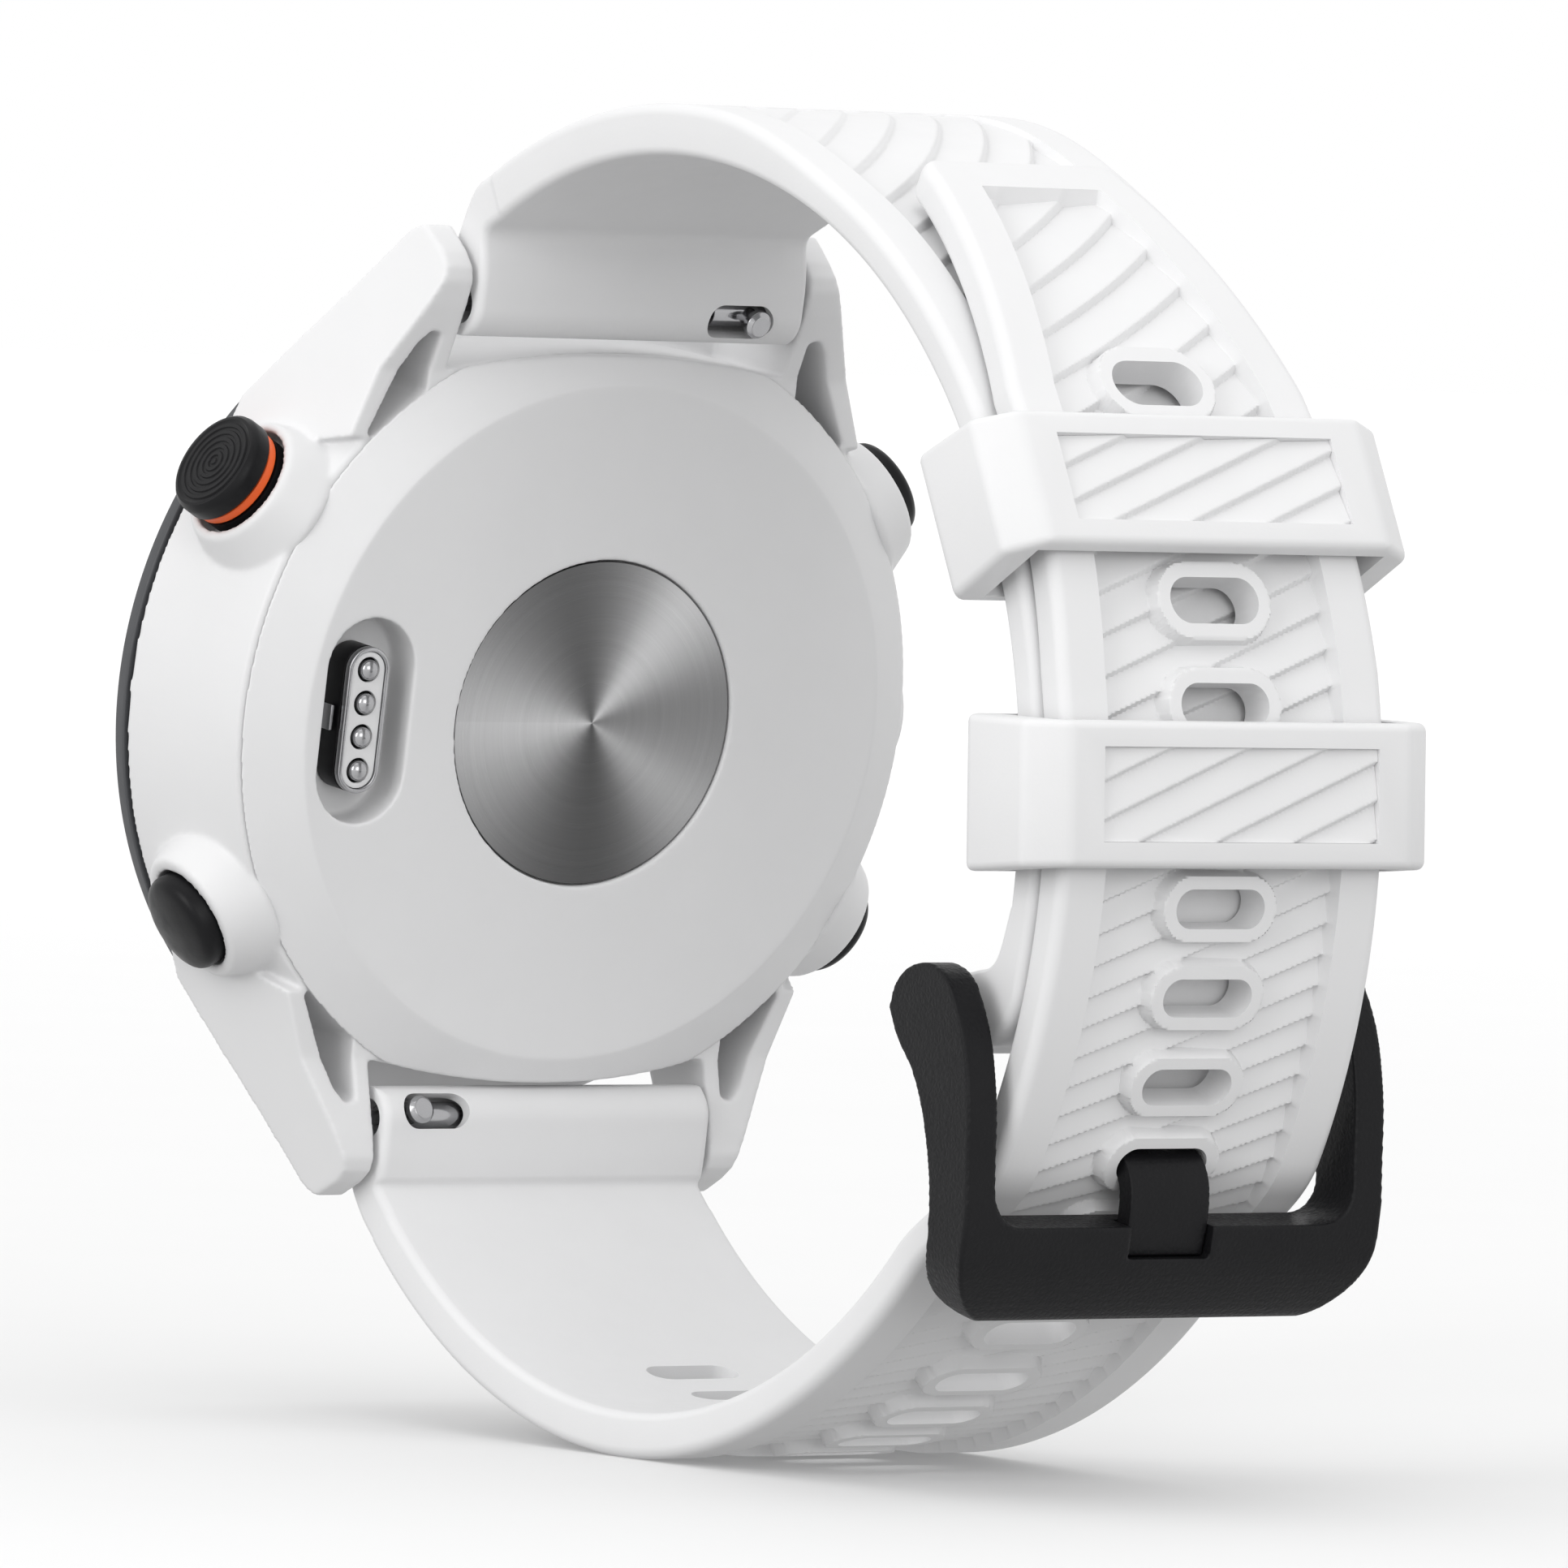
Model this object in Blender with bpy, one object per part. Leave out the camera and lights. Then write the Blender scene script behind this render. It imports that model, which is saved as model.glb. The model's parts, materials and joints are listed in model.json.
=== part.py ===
"""Golf GPS watch: round polymer case on a buckled two-piece strap, built as separate solids.

Watch axes: +X is the outward normal of the case back (the display faces -X), +Z points to
12 o'clock and -Y to 3 o'clock.  Everything hangs from one empty, which leans the watch
about Y and stands the closed strap on the ground with the origin under the middle.
"""
import math

import bmesh
import bpy
import numpy as np
from mathutils import Matrix, Vector

MM = 0.001
GAP = 0.20 * MM
FACE_GAP = 0.08 * MM
LEAN = math.radians(8.5)

# Case, along X from the back face to the glass
BACK_X = 0.25 * MM
BACK_EDGE_X = -1.40 * MM
CASE_REAR_X = -1.65 * MM
CASE_FRONT_X = -9.00 * MM
BEZEL_REAR_X = -9.20 * MM
BEZEL_FRONT_X = -10.95 * MM
GLASS_REAR_X = -9.75 * MM
GLASS_FRONT_X = -10.95 * MM
CASE_FRONT_R = 21.85 * MM
BACK_EDGE_R = 20.10 * MM
BACK_FLAT_R = 17.22 * MM
CAVITY_R = 17.00 * MM
BEZEL_OUTER_R = 21.95 * MM
BEZEL_INNER_R = 19.20 * MM
GLASS_R = 18.95 * MM
CASE_SIDES = 64
RING_SIDES = 40
BUTTON_SIDES = 20
SMALL_SIDES = 12
CUT_OVERRUN = 0.50 * MM
FAR = 4.00 * MM
TURN_PHASE = 0.5

# Rear cover
COVER_SKIRT_OUTER_R = 16.75 * MM
COVER_SKIRT_INNER_R = 15.60 * MM
COVER_SKIRT_X = -2.60 * MM
COVER_INNER_X = -0.95 * MM
GASKET_GROOVE_R = (17.40 * MM, 18.10 * MM)
GASKET_GROOVE_DEPTH = 0.80 * MM
GASKET_R = (17.55 * MM, 17.95 * MM)
GASKET_X = (-2.30 * MM, -1.55 * MM)
PLATE_R = 8.23 * MM
PLATE_THICK = 0.30 * MM
PLATE_FRONT_X = 0.05 * MM
PLATE_EDGE = 0.05 * MM
BEZEL_SLOPE = 1.05 * MM
GLASS_EDGE = 0.25 * MM
FRONT_GASKET_R = (17.50 * MM, 18.60 * MM)
FRONT_GASKET_X = (-9.60 * MM, -9.15 * MM)
BATTERY_EDGE = 0.50 * MM

# Lugs and the flats between them
LUG_INNER_Y = 10.20 * MM
LUG_OUTER_Y0 = 20.08 * MM
LUG_OUTER_PER_Z = -0.36
LUG_OUTER_PER_X = -0.30
LUG_PROFILE = [(-1.40, 14.0), (-1.40, 17.4), (-0.10, 21.0), (0.20, 22.2), (0.05, 22.9), (-0.60, 23.6),
               (-2.30, 24.7), (-3.00, 24.3), (-5.00, 20.95), (-7.50, 16.95), (-8.80, 14.8), (-8.80, 12.0)]
WALL_FLAT_Z = 18.60 * MM
WALL_CROWN_R = 47.8 * MM
WALL_CUT_FRONT_X = -7.60 * MM
POCKET_OUTLINE = [(14.10, 14.00), (11.20, 16.40), (11.15, 19.45), (11.75, 19.60), (12.35, 18.90), (14.45, 14.15)]
POCKET_FLOOR_X = -5.50 * MM

# Charging port
PORT_Y = -13.70 * MM
PORT_HALF_WIDTH = 2.55 * MM
PORT_HALF_LENGTH = 5.20 * MM
PORT_FLOOR_X = -2.10 * MM
PORT_BOSS_X = -2.95 * MM
PORT_WALL = 0.75 * MM
BLOCK_HALF_WIDTH = 1.20 * MM
BLOCK_HALF_LENGTH = 3.70 * MM
BLOCK_TOP_X = -0.45 * MM
RIM_WALL = 0.22 * MM
RIM_TOP_X = 0.05 * MM
CONTACT_PITCH = 1.70 * MM
CONTACT_R = 0.52 * MM
CONTACT_HOLE_R = 0.66 * MM
CONTACT_TOP_X = 0.35 * MM

# Buttons: clock angle seen from the back, cap radius, distance of the cap's face, and how
# deep the whole button sits; the up button is a low one, level with the case's side
BUTTON_X = -5.20 * MM
BUTTONS = {
    "start": (150.0, 2.77 * MM, 24.10 * MM, 0.0),
    "back": (-150.0, 2.55 * MM, 23.40 * MM, 0.0),
    "light": (30.0, 2.60 * MM, 23.55 * MM, 0.0),
    "up": (0.0, 2.00 * MM, 22.95 * MM, 1.60 * MM),
    "down": (-30.0, 2.60 * MM, 23.55 * MM, 0.0),
}
BOSS_BASE_R = 4.40 * MM
BOSS_TOP_R = 3.35 * MM
BOSS_BASE_AT = 19.60 * MM
BOSS_TOP_AT = 22.20 * MM
CAP_FLOOR_AT = 21.55 * MM
BORE_FLOOR_AT = 20.80 * MM
SEAL_FLOOR_AT = 19.60 * MM
SEAL_AT = (19.75 * MM, 20.45 * MM)
SEAL_R = (0.95 * MM, 1.45 * MM)
SEAL_BORE_R = 1.60 * MM
STEM_R = 0.80 * MM
STEM_BORE_R = 1.05 * MM
STEM_NECK_R = 0.50 * MM
STEM_NECK_AT = (16.35 * MM, 16.75 * MM)
STEM_END_AT = 16.10 * MM
CLIP_R = (0.62 * MM, 1.25 * MM)
CLIP_AT = (16.42 * MM, 16.68 * MM)
SWITCH_AT = (13.40 * MM, 15.40 * MM)
SWITCH_HALF = (0.70 * MM, 1.50 * MM)
START_CAP_BASE_AT = 22.95 * MM
START_RING_AT = (22.35 * MM, 22.82 * MM)
START_NECK_R = 1.90 * MM
START_RING_R = (2.05 * MM, 2.62 * MM)

# Strap loop: both halves lie on circles about one centre, in the plane Y = 0
LOOP_X = 19.00 * MM
LOOP_Z = 0.50 * MM
STRAP_INNER_R = 30.70 * MM
STRAP_OUTER_R = 32.55 * MM
SHORT_THICKEN_ANGLES = (72.0, 92.0)
LONG_THICKEN_ANGLES = (45.0, 85.0)
SHORT_THICKEN = 0.68 * MM
LONG_THICKEN = 0.45 * MM
TAIL_INNER_R = 32.77 * MM
TAIL_OUTER_R = 34.70 * MM
STRAP_HALF_WIDTH = 9.95 * MM
SHORT_HALF_WIDTH = 9.50 * MM
SHORT_NARROW_ANGLES = (60.0, 110.0)
TAIL_HALF_WIDTH = 9.50 * MM
TAIL_END_ANGLE = 71.5
TAPER_START_ANGLE = 20.0
TAPER_MID_ANGLE = 44.0
TAPER_MID_HALF = 8.75 * MM
TAPER_END_HALF = 5.90 * MM
TAIL_TIP_HALF = 4.70 * MM
TAIL_TIP_SPAN = 3.0
LAYER_SHIFT_ANGLES = (-35.0, -20.5)
LUG_END_ANGLE = 128.0
SHORT_END_ANGLE = 0.0
ANGLE_STEP = 3.0
SLOT_ANGLES = (44.5, 34.9, 25.6, 17.2, 9.2, 1.2, -6.0, -13.5, -20.5, -28.1, -35.7, -43.3, -51.5, -59.2, -66.7,
               -74.3, -81.9, -89.5, -97.1)
SLOT_HALF_WIDTH = 2.60 * MM
SLOT_HALF_HEIGHT = 0.95 * MM

# Spring bars in the strap ends
BAR_X = -1.20 * MM
BARS = {"top": (1, 20.90 * MM), "bottom": (-1, 20.45 * MM)}
KNUCKLE_R = 1.60 * MM
KNUCKLE_BORE_R = 0.98 * MM
BAR_TUBE_R = 0.78 * MM
BAR_TUBE_BORE_R = 0.55 * MM
BAR_TIP_R = 0.36 * MM
BAR_TUBE_Y = (-8.9 * MM, 2.6 * MM)
BAR_TIP_Y = 11.00 * MM
LUG_STRETCH = [((0.42, 22.2), (-2.85, 22.2)), ((0.30, 23.3), (-2.55, 24.0))]
LUG_BORE_R = 0.60 * MM
LUG_BORE_DEPTH_Y = 11.35 * MM
PLUNGER_Y = (1.0 * MM, 11.0 * MM)
PLUNGER_HEAD_Y = (4.90 * MM, 9.20 * MM)
KNOB_Y = {"top": 7.05 * MM, "bottom": 7.85 * MM}
KNOB_LEAN = {"top": 14.0, "bottom": 26.0}
KNOB_R = 0.72 * MM
KNOB_RISE = 1.95 * MM
KNOB_SLOT_REACH = (-3.00 * MM, 0.95 * MM)
BAR_SPRING_Y = (-3.2 * MM, 0.7 * MM)
BAR_SPRING_R = 0.33 * MM
BAR_SPRING_WIRE_R = 0.07 * MM
BAR_SPRING_TURNS = 6

# Keepers
KEEPER_ANGLES = {"keeper_upper": 34.9, "keeper_lower": 10.2}
KEEPER_OUTER_R = 35.90 * MM
KEEPER_INNER_R = 29.50 * MM
KEEPER_CHANNEL = (30.22 * MM, 34.98 * MM)
KEEPER_HALF_HEIGHT_OUT = 3.45 * MM
KEEPER_HALF_HEIGHT_IN = 3.75 * MM
KEEPER_HALF_WIDTH = 11.95 * MM
KEEPER_CHANNEL_HALF = 10.22 * MM
KEEPER_CHAMFER = 1.30 * MM

# Buckle: pin, frame outline in XZ and in YZ, tang
PIN_X = 47.30 * MM
PIN_Z = -5.00 * MM
PIN_R = 0.70 * MM
PIN_HALF_LENGTH = 11.50 * MM
PIN_BORE_R = 0.95 * MM
PIN_KNUCKLE_R = 2.00 * MM
FRAME_SIDE = [(44.95, -5.3), (45.2, -4.1), (46.1, -3.1), (47.5, -2.6), (48.9, -2.8), (49.9, -3.6),
              (51.2, -5.5), (52.2, -8.3), (52.7, -11.2), (53.1, -14.2), (52.7, -16.8), (51.1, -19.2),
              (49.5, -18.3), (50.1, -15.4), (49.7, -12.5), (48.6, -9.7), (47.4, -7.9), (45.9, -6.6)]
FRAME_HALF_WIDTH = 12.30 * MM
FRAME_OPENING_HALF = 10.60 * MM
FRAME_BOTTOM_Z = -19.60 * MM
FRAME_TOP_Z = -1.50 * MM
FRAME_OPENING_Z = -14.30 * MM
FRAME_CORNER_R = 4.60 * MM
FRAME_INNER_CORNER_R = 1.80 * MM
NOTCH_HALF_WIDTH = 2.60 * MM
NOTCH_BOTTOM_Z = -16.20 * MM
NOTCH_FLOOR_X = 51.00 * MM
TANG_HALF_WIDTH = 2.32 * MM
TANG_HALF_THICK = 0.52 * MM
TANG_EYE_R = 1.55 * MM
TANG_PATH = [(47.75, -6.20), (48.10, -7.80), (48.45, -9.50), (49.10, -10.70), (50.40, -11.25),
             (51.35, -11.75), (51.90, -12.55), (52.08, -13.60), (52.05, -14.70), (51.90, -15.80)]
STRAP_NOTCH_HALF = 2.75 * MM

# Inside the case
DISPLAY_R = 15.90 * MM
DISPLAY_X = (-8.90 * MM, -7.85 * MM)
FRAME_RING_R = (16.15 * MM, 16.80 * MM)
FRAME_SHELF_R = 14.50 * MM
FRAME_RING_X = (-8.85 * MM, -7.15 * MM)
FRAME_SHELF_X = -7.65 * MM
BOARD_R = 15.80 * MM
BOARD_X = (-7.00 * MM, -6.45 * MM)
BATTERY_CENTRE = (-4.60 * MM, -3.40 * MM, 0.0)
BATTERY_SIZE = (2.80 * MM, 15.00 * MM, 13.00 * MM)
SHIELD_CENTRE = (-5.60 * MM, 8.00 * MM, 0.0)
SHIELD_SIZE = (1.30 * MM, 5.60 * MM, 9.60 * MM)
ANTENNA_R = (15.40 * MM, 16.20 * MM)
ANTENNA_X = (-6.20 * MM, -3.20 * MM)
ANTENNA_ANGLES = (60.0, 120.0)

COLOURS = {
    "white_polymer": ((0.86, 0.86, 0.87), 0.42, 0.0),
    "white_silicone": ((0.88, 0.88, 0.89), 0.55, 0.0),
    "black_polymer": ((0.016, 0.016, 0.018), 0.50, 0.0),
    "bezel_grey": ((0.05, 0.052, 0.058), 0.45, 0.0),
    "orange_polymer": ((0.95, 0.20, 0.03), 0.45, 0.0),
    "brushed_steel": ((0.46, 0.46, 0.47), 0.28, 1.0),
    "polished_steel": ((0.62, 0.62, 0.64), 0.12, 1.0),
    "glass": ((0.02, 0.02, 0.025), 0.05, 0.0),
    "display": ((0.05, 0.07, 0.06), 0.25, 0.0),
    "circuit_board": ((0.02, 0.17, 0.08), 0.45, 0.0),
    "battery_foil": ((0.55, 0.56, 0.58), 0.35, 0.6),
    "gold": ((0.85, 0.62, 0.25), 0.25, 1.0),
    "nitrile": ((0.03, 0.03, 0.03), 0.80, 0.0),
}


def clear_scene():
    """Empty the scene that the script runs in."""
    for obj in list(bpy.data.objects):
        bpy.data.objects.remove(obj, do_unlink=True)


def material(name):
    """Principled material by its name in COLOURS."""
    found = bpy.data.materials.get(name)
    if found:
        return found
    colour, roughness, metallic = COLOURS[name]
    made = bpy.data.materials.new(name)
    made.use_nodes = True
    shader = made.node_tree.nodes["Principled BSDF"]
    shader.inputs["Base Color"].default_value = (*colour, 1.0)
    shader.inputs["Roughness"].default_value = roughness
    shader.inputs["Metallic"].default_value = metallic
    return made


def add_object(name, bm, look, root, origin=(0.0, 0.0, 0.0), smooth=30.0):
    """Store a bmesh, whose points are in watch axes, as a named object with its own origin."""
    bmesh.ops.remove_doubles(bm, verts=bm.verts, dist=0.000001)
    bmesh.ops.recalc_face_normals(bm, faces=bm.faces)
    bmesh.ops.translate(bm, verts=bm.verts, vec=-Vector(origin))
    mesh = bpy.data.meshes.new(name)
    bm.to_mesh(mesh)
    bm.free()
    mesh.shade_smooth()
    mesh.set_sharp_from_angle(angle=math.radians(smooth))
    mesh.materials.append(material(look))
    obj = bpy.data.objects.new(name, mesh)
    bpy.context.scene.collection.objects.link(obj)
    obj.parent = root
    obj.location = origin
    return obj


def boolean(target, tools, operation):
    """Join or cut the target with all of the hidden tool objects at once."""
    group = bpy.data.collections.new(tools[0].name + "_tools")
    for tool in tools:
        tool.hide_render = True
        tool.display_type = "WIRE"
        group.objects.link(tool)
    modifier = target.modifiers.new(group.name, "BOOLEAN")
    modifier.operation = operation
    modifier.solver = "EXACT"
    modifier.operand_type = "COLLECTION"
    modifier.collection = group


def axis_frame(origin, axis, side):
    """Matrix whose local X, Y and Z are side, axis x side and axis, placed at origin."""
    z = Vector(axis).normalized()
    x = Vector(side).normalized()
    y = z.cross(x)
    return Matrix.Translation(Vector(origin)) @ Matrix((x, y, z)).transposed().to_4x4()


CASE_AXIS = axis_frame((0, 0, 0), (1, 0, 0), (0, 1, 0))


def turned(profile, place, sides):
    """Solid of revolution about local Z; profile is a list of (radius, height)."""
    bm = bmesh.new()
    rings = []
    for radius, height in profile:
        if radius < 1e-7:
            rings.append([bm.verts.new(place @ Vector((0, 0, height)))])
            continue
        ring = []
        for k in range(sides):
            turn = 2 * math.pi * (k + TURN_PHASE) / sides
            ring.append(bm.verts.new(place @ Vector((radius * math.cos(turn), radius * math.sin(turn), height))))
        rings.append(ring)
    count = len(rings)
    closed = len(rings[0]) > 1 and len(rings[-1]) > 1
    for i in range(count if closed else count - 1):
        a = rings[i]
        b = rings[(i + 1) % count]
        for k in range(sides):
            n = (k + 1) % sides
            if len(a) == 1:
                bm.faces.new((a[0], b[n], b[k]))
            elif len(b) == 1:
                bm.faces.new((a[k], a[n], b[0]))
            else:
                bm.faces.new((a[k], a[n], b[n], b[k]))
    return bm


def rod(radius, low, high):
    """Turned section of a plain solid rod."""
    return [(0, low), (radius, low), (radius, high), (0, high)]


def prism(outline, place, low, high):
    """Straight extrusion of a closed outline in local XY between two heights."""
    bm = bmesh.new()
    lower = [bm.verts.new(place @ Vector((x, y, low))) for x, y in outline]
    upper = [bm.verts.new(place @ Vector((x, y, high))) for x, y in outline]
    bm.faces.new(lower)
    bm.faces.new(upper)
    for k in range(len(outline)):
        n = (k + 1) % len(outline)
        bm.faces.new((lower[k], lower[n], upper[n], upper[k]))
    return bm


def box(centre, size, place):
    """Rectangular block in the local axes of place."""
    half_x, half_y, half_z = (value / 2 for value in size)
    x, y, z = centre
    outline = [(x - half_x, y - half_y), (x + half_x, y - half_y), (x + half_x, y + half_y), (x - half_x, y + half_y)]
    return prism(outline, place, z - half_z, z + half_z)


def stadium(half_width, half_length, steps=6):
    """Slot outline with round ends, long along local Y."""
    points = []
    straight = half_length - half_width
    for end in (1, -1):
        for k in range(steps + 1):
            turn = math.pi * k / steps + (0 if end > 0 else math.pi)
            points.append((half_width * math.cos(turn), end * straight + half_width * math.sin(turn)))
    return points


def rounded_outline(corners, steps=5):
    """Outline through (x, y, radius) corners, each rounded with an arc."""
    points = []
    for i, (x, y, radius) in enumerate(corners):
        here = Vector((x, y))
        before = (Vector(corners[i - 1][:2]) - here).normalized()
        after = (Vector(corners[(i + 1) % len(corners)][:2]) - here).normalized()
        if radius <= 0:
            points.append((x, y))
            continue
        half = before.angle(after) / 2
        reach = radius / math.tan(half)
        centre = here + (before + after).normalized() * (radius / math.sin(half))
        start = here + before * reach - centre
        stop = here + after * reach - centre
        sweep = start.angle_signed(stop)
        for k in range(steps + 1):
            turn = -sweep * k / steps
            spoke = Matrix.Rotation(turn, 2) @ start
            points.append(tuple(centre + spoke))
    return points


def on_loop(radius, angle):
    """Point of the strap plane at a radius and an angle in degrees about the loop's centre."""
    turn = math.radians(angle)
    return (LOOP_X + radius * math.cos(turn), LOOP_Z + radius * math.sin(turn))


def loop_frame(angle):
    """Local X along the loop's tangent, Y across the strap and Z outward at an angle."""
    turn = math.radians(angle)
    outward = (math.cos(turn), 0, math.sin(turn))
    return axis_frame((LOOP_X, 0, LOOP_Z), outward, (-math.sin(turn), 0, math.cos(turn)))


def smoothstep(value, low, high):
    """Smooth ramp from 0 at low to 1 at high."""
    t = min(max((value - low) / (high - low), 0.0), 1.0)
    return t * t * (3 - 2 * t)


def swept(stations):
    """Strip solid from stations of (inner point, outer point, half width), ends closed."""
    bm = bmesh.new()
    rings = []
    for (ix, iz), (ox, oz), half in stations:
        corners = [(ix, -half, iz), (ix, half, iz), (ox, half, oz), (ox, -half, oz)]
        rings.append([bm.verts.new(corner) for corner in corners])
    bm.faces.new(rings[0])
    bm.faces.new(rings[-1])
    for a, b in zip(rings, rings[1:]):
        for k in range(4):
            n = (k + 1) % 4
            bm.faces.new((a[k], a[n], b[n], b[k]))
    return bm


def lug_outer_y(x, z):
    """Distance of a lug's outer side from the middle plane, a flat that leans both ways."""
    return LUG_OUTER_Y0 + LUG_OUTER_PER_Z * z + LUG_OUTER_PER_X * x


def make_lug(name, side, end, root):
    """One lug: side is the sign of Y and end the sign of Z."""
    bm = bmesh.new()
    inner = []
    outer = []
    for x_mm, z_mm in LUG_PROFILE:
        x = x_mm * MM
        z = z_mm * MM
        inner.append(bm.verts.new((x, side * (LUG_INNER_Y - CUT_OVERRUN), end * z)))
        outer.append(bm.verts.new((x, side * lug_outer_y(x, z), end * z)))
    bm.faces.new(inner)
    bm.faces.new(outer)
    for k in range(len(inner)):
        n = (k + 1) % len(inner)
        bm.faces.new((inner[k], inner[n], outer[n], outer[k]))
    return add_object(name, bm, "white_polymer", root)


def wall_cutter(name, end, low_x, high_x, root):
    """Tool that trims the case between two lugs to a slightly crowned wall."""
    half = LUG_INNER_Y
    outline = [(-half, end * 30 * MM), (half, end * 30 * MM)]
    steps = 8
    for k in range(steps + 1):
        y = half - 2 * half * k / steps
        outline.append((y, end * (WALL_FLAT_Z - y * y / (2 * WALL_CROWN_R))))
    return add_object(name, prism(outline, CASE_AXIS, low_x, high_x), "white_polymer", root)


def button_frame(angle, depth):
    """Local Z along a button's axis, away from the case, and local X along the watch's X."""
    turn = math.radians(angle)
    outward = Vector((0, math.cos(turn), math.sin(turn)))
    return axis_frame(Vector((BUTTON_X, 0, 0)) - depth * outward, outward, (1, 0, 0))


def case_disc():
    """Section of the case before its cuts, a little over length at both ends: (radius, X)."""
    slope = (CASE_FRONT_R - BACK_EDGE_R) / (CASE_FRONT_X - BACK_EDGE_X)
    front_x = CASE_FRONT_X - CUT_OVERRUN
    rear_x = CASE_REAR_X + CUT_OVERRUN
    front_r = BACK_EDGE_R + slope * (front_x - BACK_EDGE_X)
    rear_r = BACK_EDGE_R + slope * (rear_x - BACK_EDGE_X)
    return [(0, front_x), (front_r, front_x), (rear_r, rear_x), (0, rear_x)]


def make_case_body(root):
    """Case ring with four pocketed lugs, five button bosses and their bores."""
    body = add_object("case_body", turned(case_disc(), CASE_AXIS, CASE_SIDES), "white_polymer", root)
    joins = []
    cuts = []
    for end, label in ((1, "top"), (-1, "bottom")):
        cuts.append(wall_cutter("cut_wall_" + label, end, WALL_CUT_FRONT_X, FAR, root))
        for side, hand in ((-1, "left"), (1, "right")):
            joins.append(make_lug("join_lug_" + label + hand, side, end, root))
            pocket = [(side * y * MM, end * z * MM) for y, z in POCKET_OUTLINE]
            cuts.append(add_object("cut_pocket_" + label + hand,
                                   prism(pocket, CASE_AXIS, POCKET_FLOOR_X, FAR), "white_polymer", root))
            bore = axis_frame((BAR_X, 0, end * BARS[label][1]), (0, side, 0), (1, 0, 0))
            hole = rod(LUG_BORE_R, LUG_INNER_Y - CUT_OVERRUN, LUG_BORE_DEPTH_Y)
            cuts.append(add_object("cut_bar_hole_" + label + hand, turned(hole, bore, SMALL_SIDES),
                                   "white_polymer", root))
    for label, (angle, cap_r, _face, depth) in BUTTONS.items():
        place = button_frame(angle, depth)
        boss = [(0, BOSS_BASE_AT), (BOSS_BASE_R, BOSS_BASE_AT), (BOSS_TOP_R, BOSS_TOP_AT), (0, BOSS_TOP_AT)]
        joins.append(add_object("join_boss_" + label, turned(boss, place, BUTTON_SIDES), "white_polymer", root))
        bore = [(0, SWITCH_AT[1]), (STEM_BORE_R, SWITCH_AT[1]), (STEM_BORE_R, SEAL_FLOOR_AT),
                (SEAL_BORE_R, SEAL_FLOOR_AT), (SEAL_BORE_R, BORE_FLOOR_AT), (cap_r + GAP, BORE_FLOOR_AT),
                (cap_r + GAP, BORE_FLOOR_AT + FAR), (0, BORE_FLOOR_AT + FAR)]
        cuts.append(add_object("cut_bore_" + label, turned(bore, place, BUTTON_SIDES), "white_polymer", root))
    groove_low, groove_high = GASKET_GROOVE_R
    groove_x = CASE_REAR_X - GASKET_GROOVE_DEPTH
    seat_r = BACK_EDGE_R + GAP
    rear = [(0, groove_x), (groove_low, groove_x), (groove_high, groove_x), (groove_high, CASE_REAR_X),
            (seat_r, CASE_REAR_X), (seat_r, FAR), (0, FAR)]
    front = [(0, CASE_FRONT_X - FAR), (2 * CASE_FRONT_R, CASE_FRONT_X - FAR), (2 * CASE_FRONT_R, CASE_FRONT_X),
             (CAVITY_R, CASE_FRONT_X), (CAVITY_R, groove_x), (groove_low, groove_x + GAP), (0, groove_x + GAP)]
    cuts.append(add_object("cut_rear", turned(rear, CASE_AXIS, CASE_SIDES), "white_polymer", root))
    cuts.append(add_object("cut_front", turned(front, CASE_AXIS, CASE_SIDES), "white_polymer", root))
    boolean(body, joins, "UNION")
    boolean(body, cuts, "DIFFERENCE")
    return body


def port_frame():
    """Local Z along the case axis, centred on the charging port, local Y along the watch's Z."""
    return axis_frame((0, PORT_Y, 0), (1, 0, 0), (0, 1, 0))


def make_rear_cover(root):
    """Bevelled back with a skirt, the recess of the charging port and the plate's seat."""
    profile = [(0, COVER_INNER_X), (COVER_SKIRT_INNER_R, COVER_INNER_X), (COVER_SKIRT_INNER_R, COVER_SKIRT_X),
               (COVER_SKIRT_OUTER_R, COVER_SKIRT_X), (COVER_SKIRT_OUTER_R, BACK_EDGE_X), (BACK_EDGE_R, BACK_EDGE_X),
               (BACK_FLAT_R, BACK_X), (0, BACK_X)]
    cover = add_object("rear_cover", turned(profile, CASE_AXIS, CASE_SIDES), "white_polymer", root)
    place = port_frame()
    boss = add_object("join_port_boss",
                      prism(stadium(PORT_HALF_WIDTH + PORT_WALL, PORT_HALF_LENGTH + PORT_WALL), place,
                            PORT_BOSS_X, COVER_INNER_X + 0.3 * MM), "white_polymer", root)
    skirt_limit = rod(COVER_SKIRT_OUTER_R - PLATE_EDGE, -FAR, FAR)
    limit = add_object("keep_inside_skirt", turned(skirt_limit, CASE_AXIS, CASE_SIDES), "white_polymer", root)
    boolean(boss, [limit], "INTERSECT")
    boolean(cover, [boss], "UNION")
    recess = add_object("cut_port", prism(stadium(PORT_HALF_WIDTH, PORT_HALF_LENGTH), place, PORT_FLOOR_X, FAR),
                        "white_polymer", root)
    seat_x = PLATE_FRONT_X - PLATE_THICK - GAP
    seat_r = PLATE_R + GAP
    seat = add_object("cut_plate_seat", turned(rod(seat_r, seat_x, FAR), CASE_AXIS, RING_SIDES), "white_polymer", root)
    trims = [wall_cutter("trim_cover_" + label, end, COVER_SKIRT_X, FAR, root)
             for end, label in ((1, "top"), (-1, "bottom"))]
    boolean(cover, [recess, seat] + trims, "DIFFERENCE")


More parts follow.
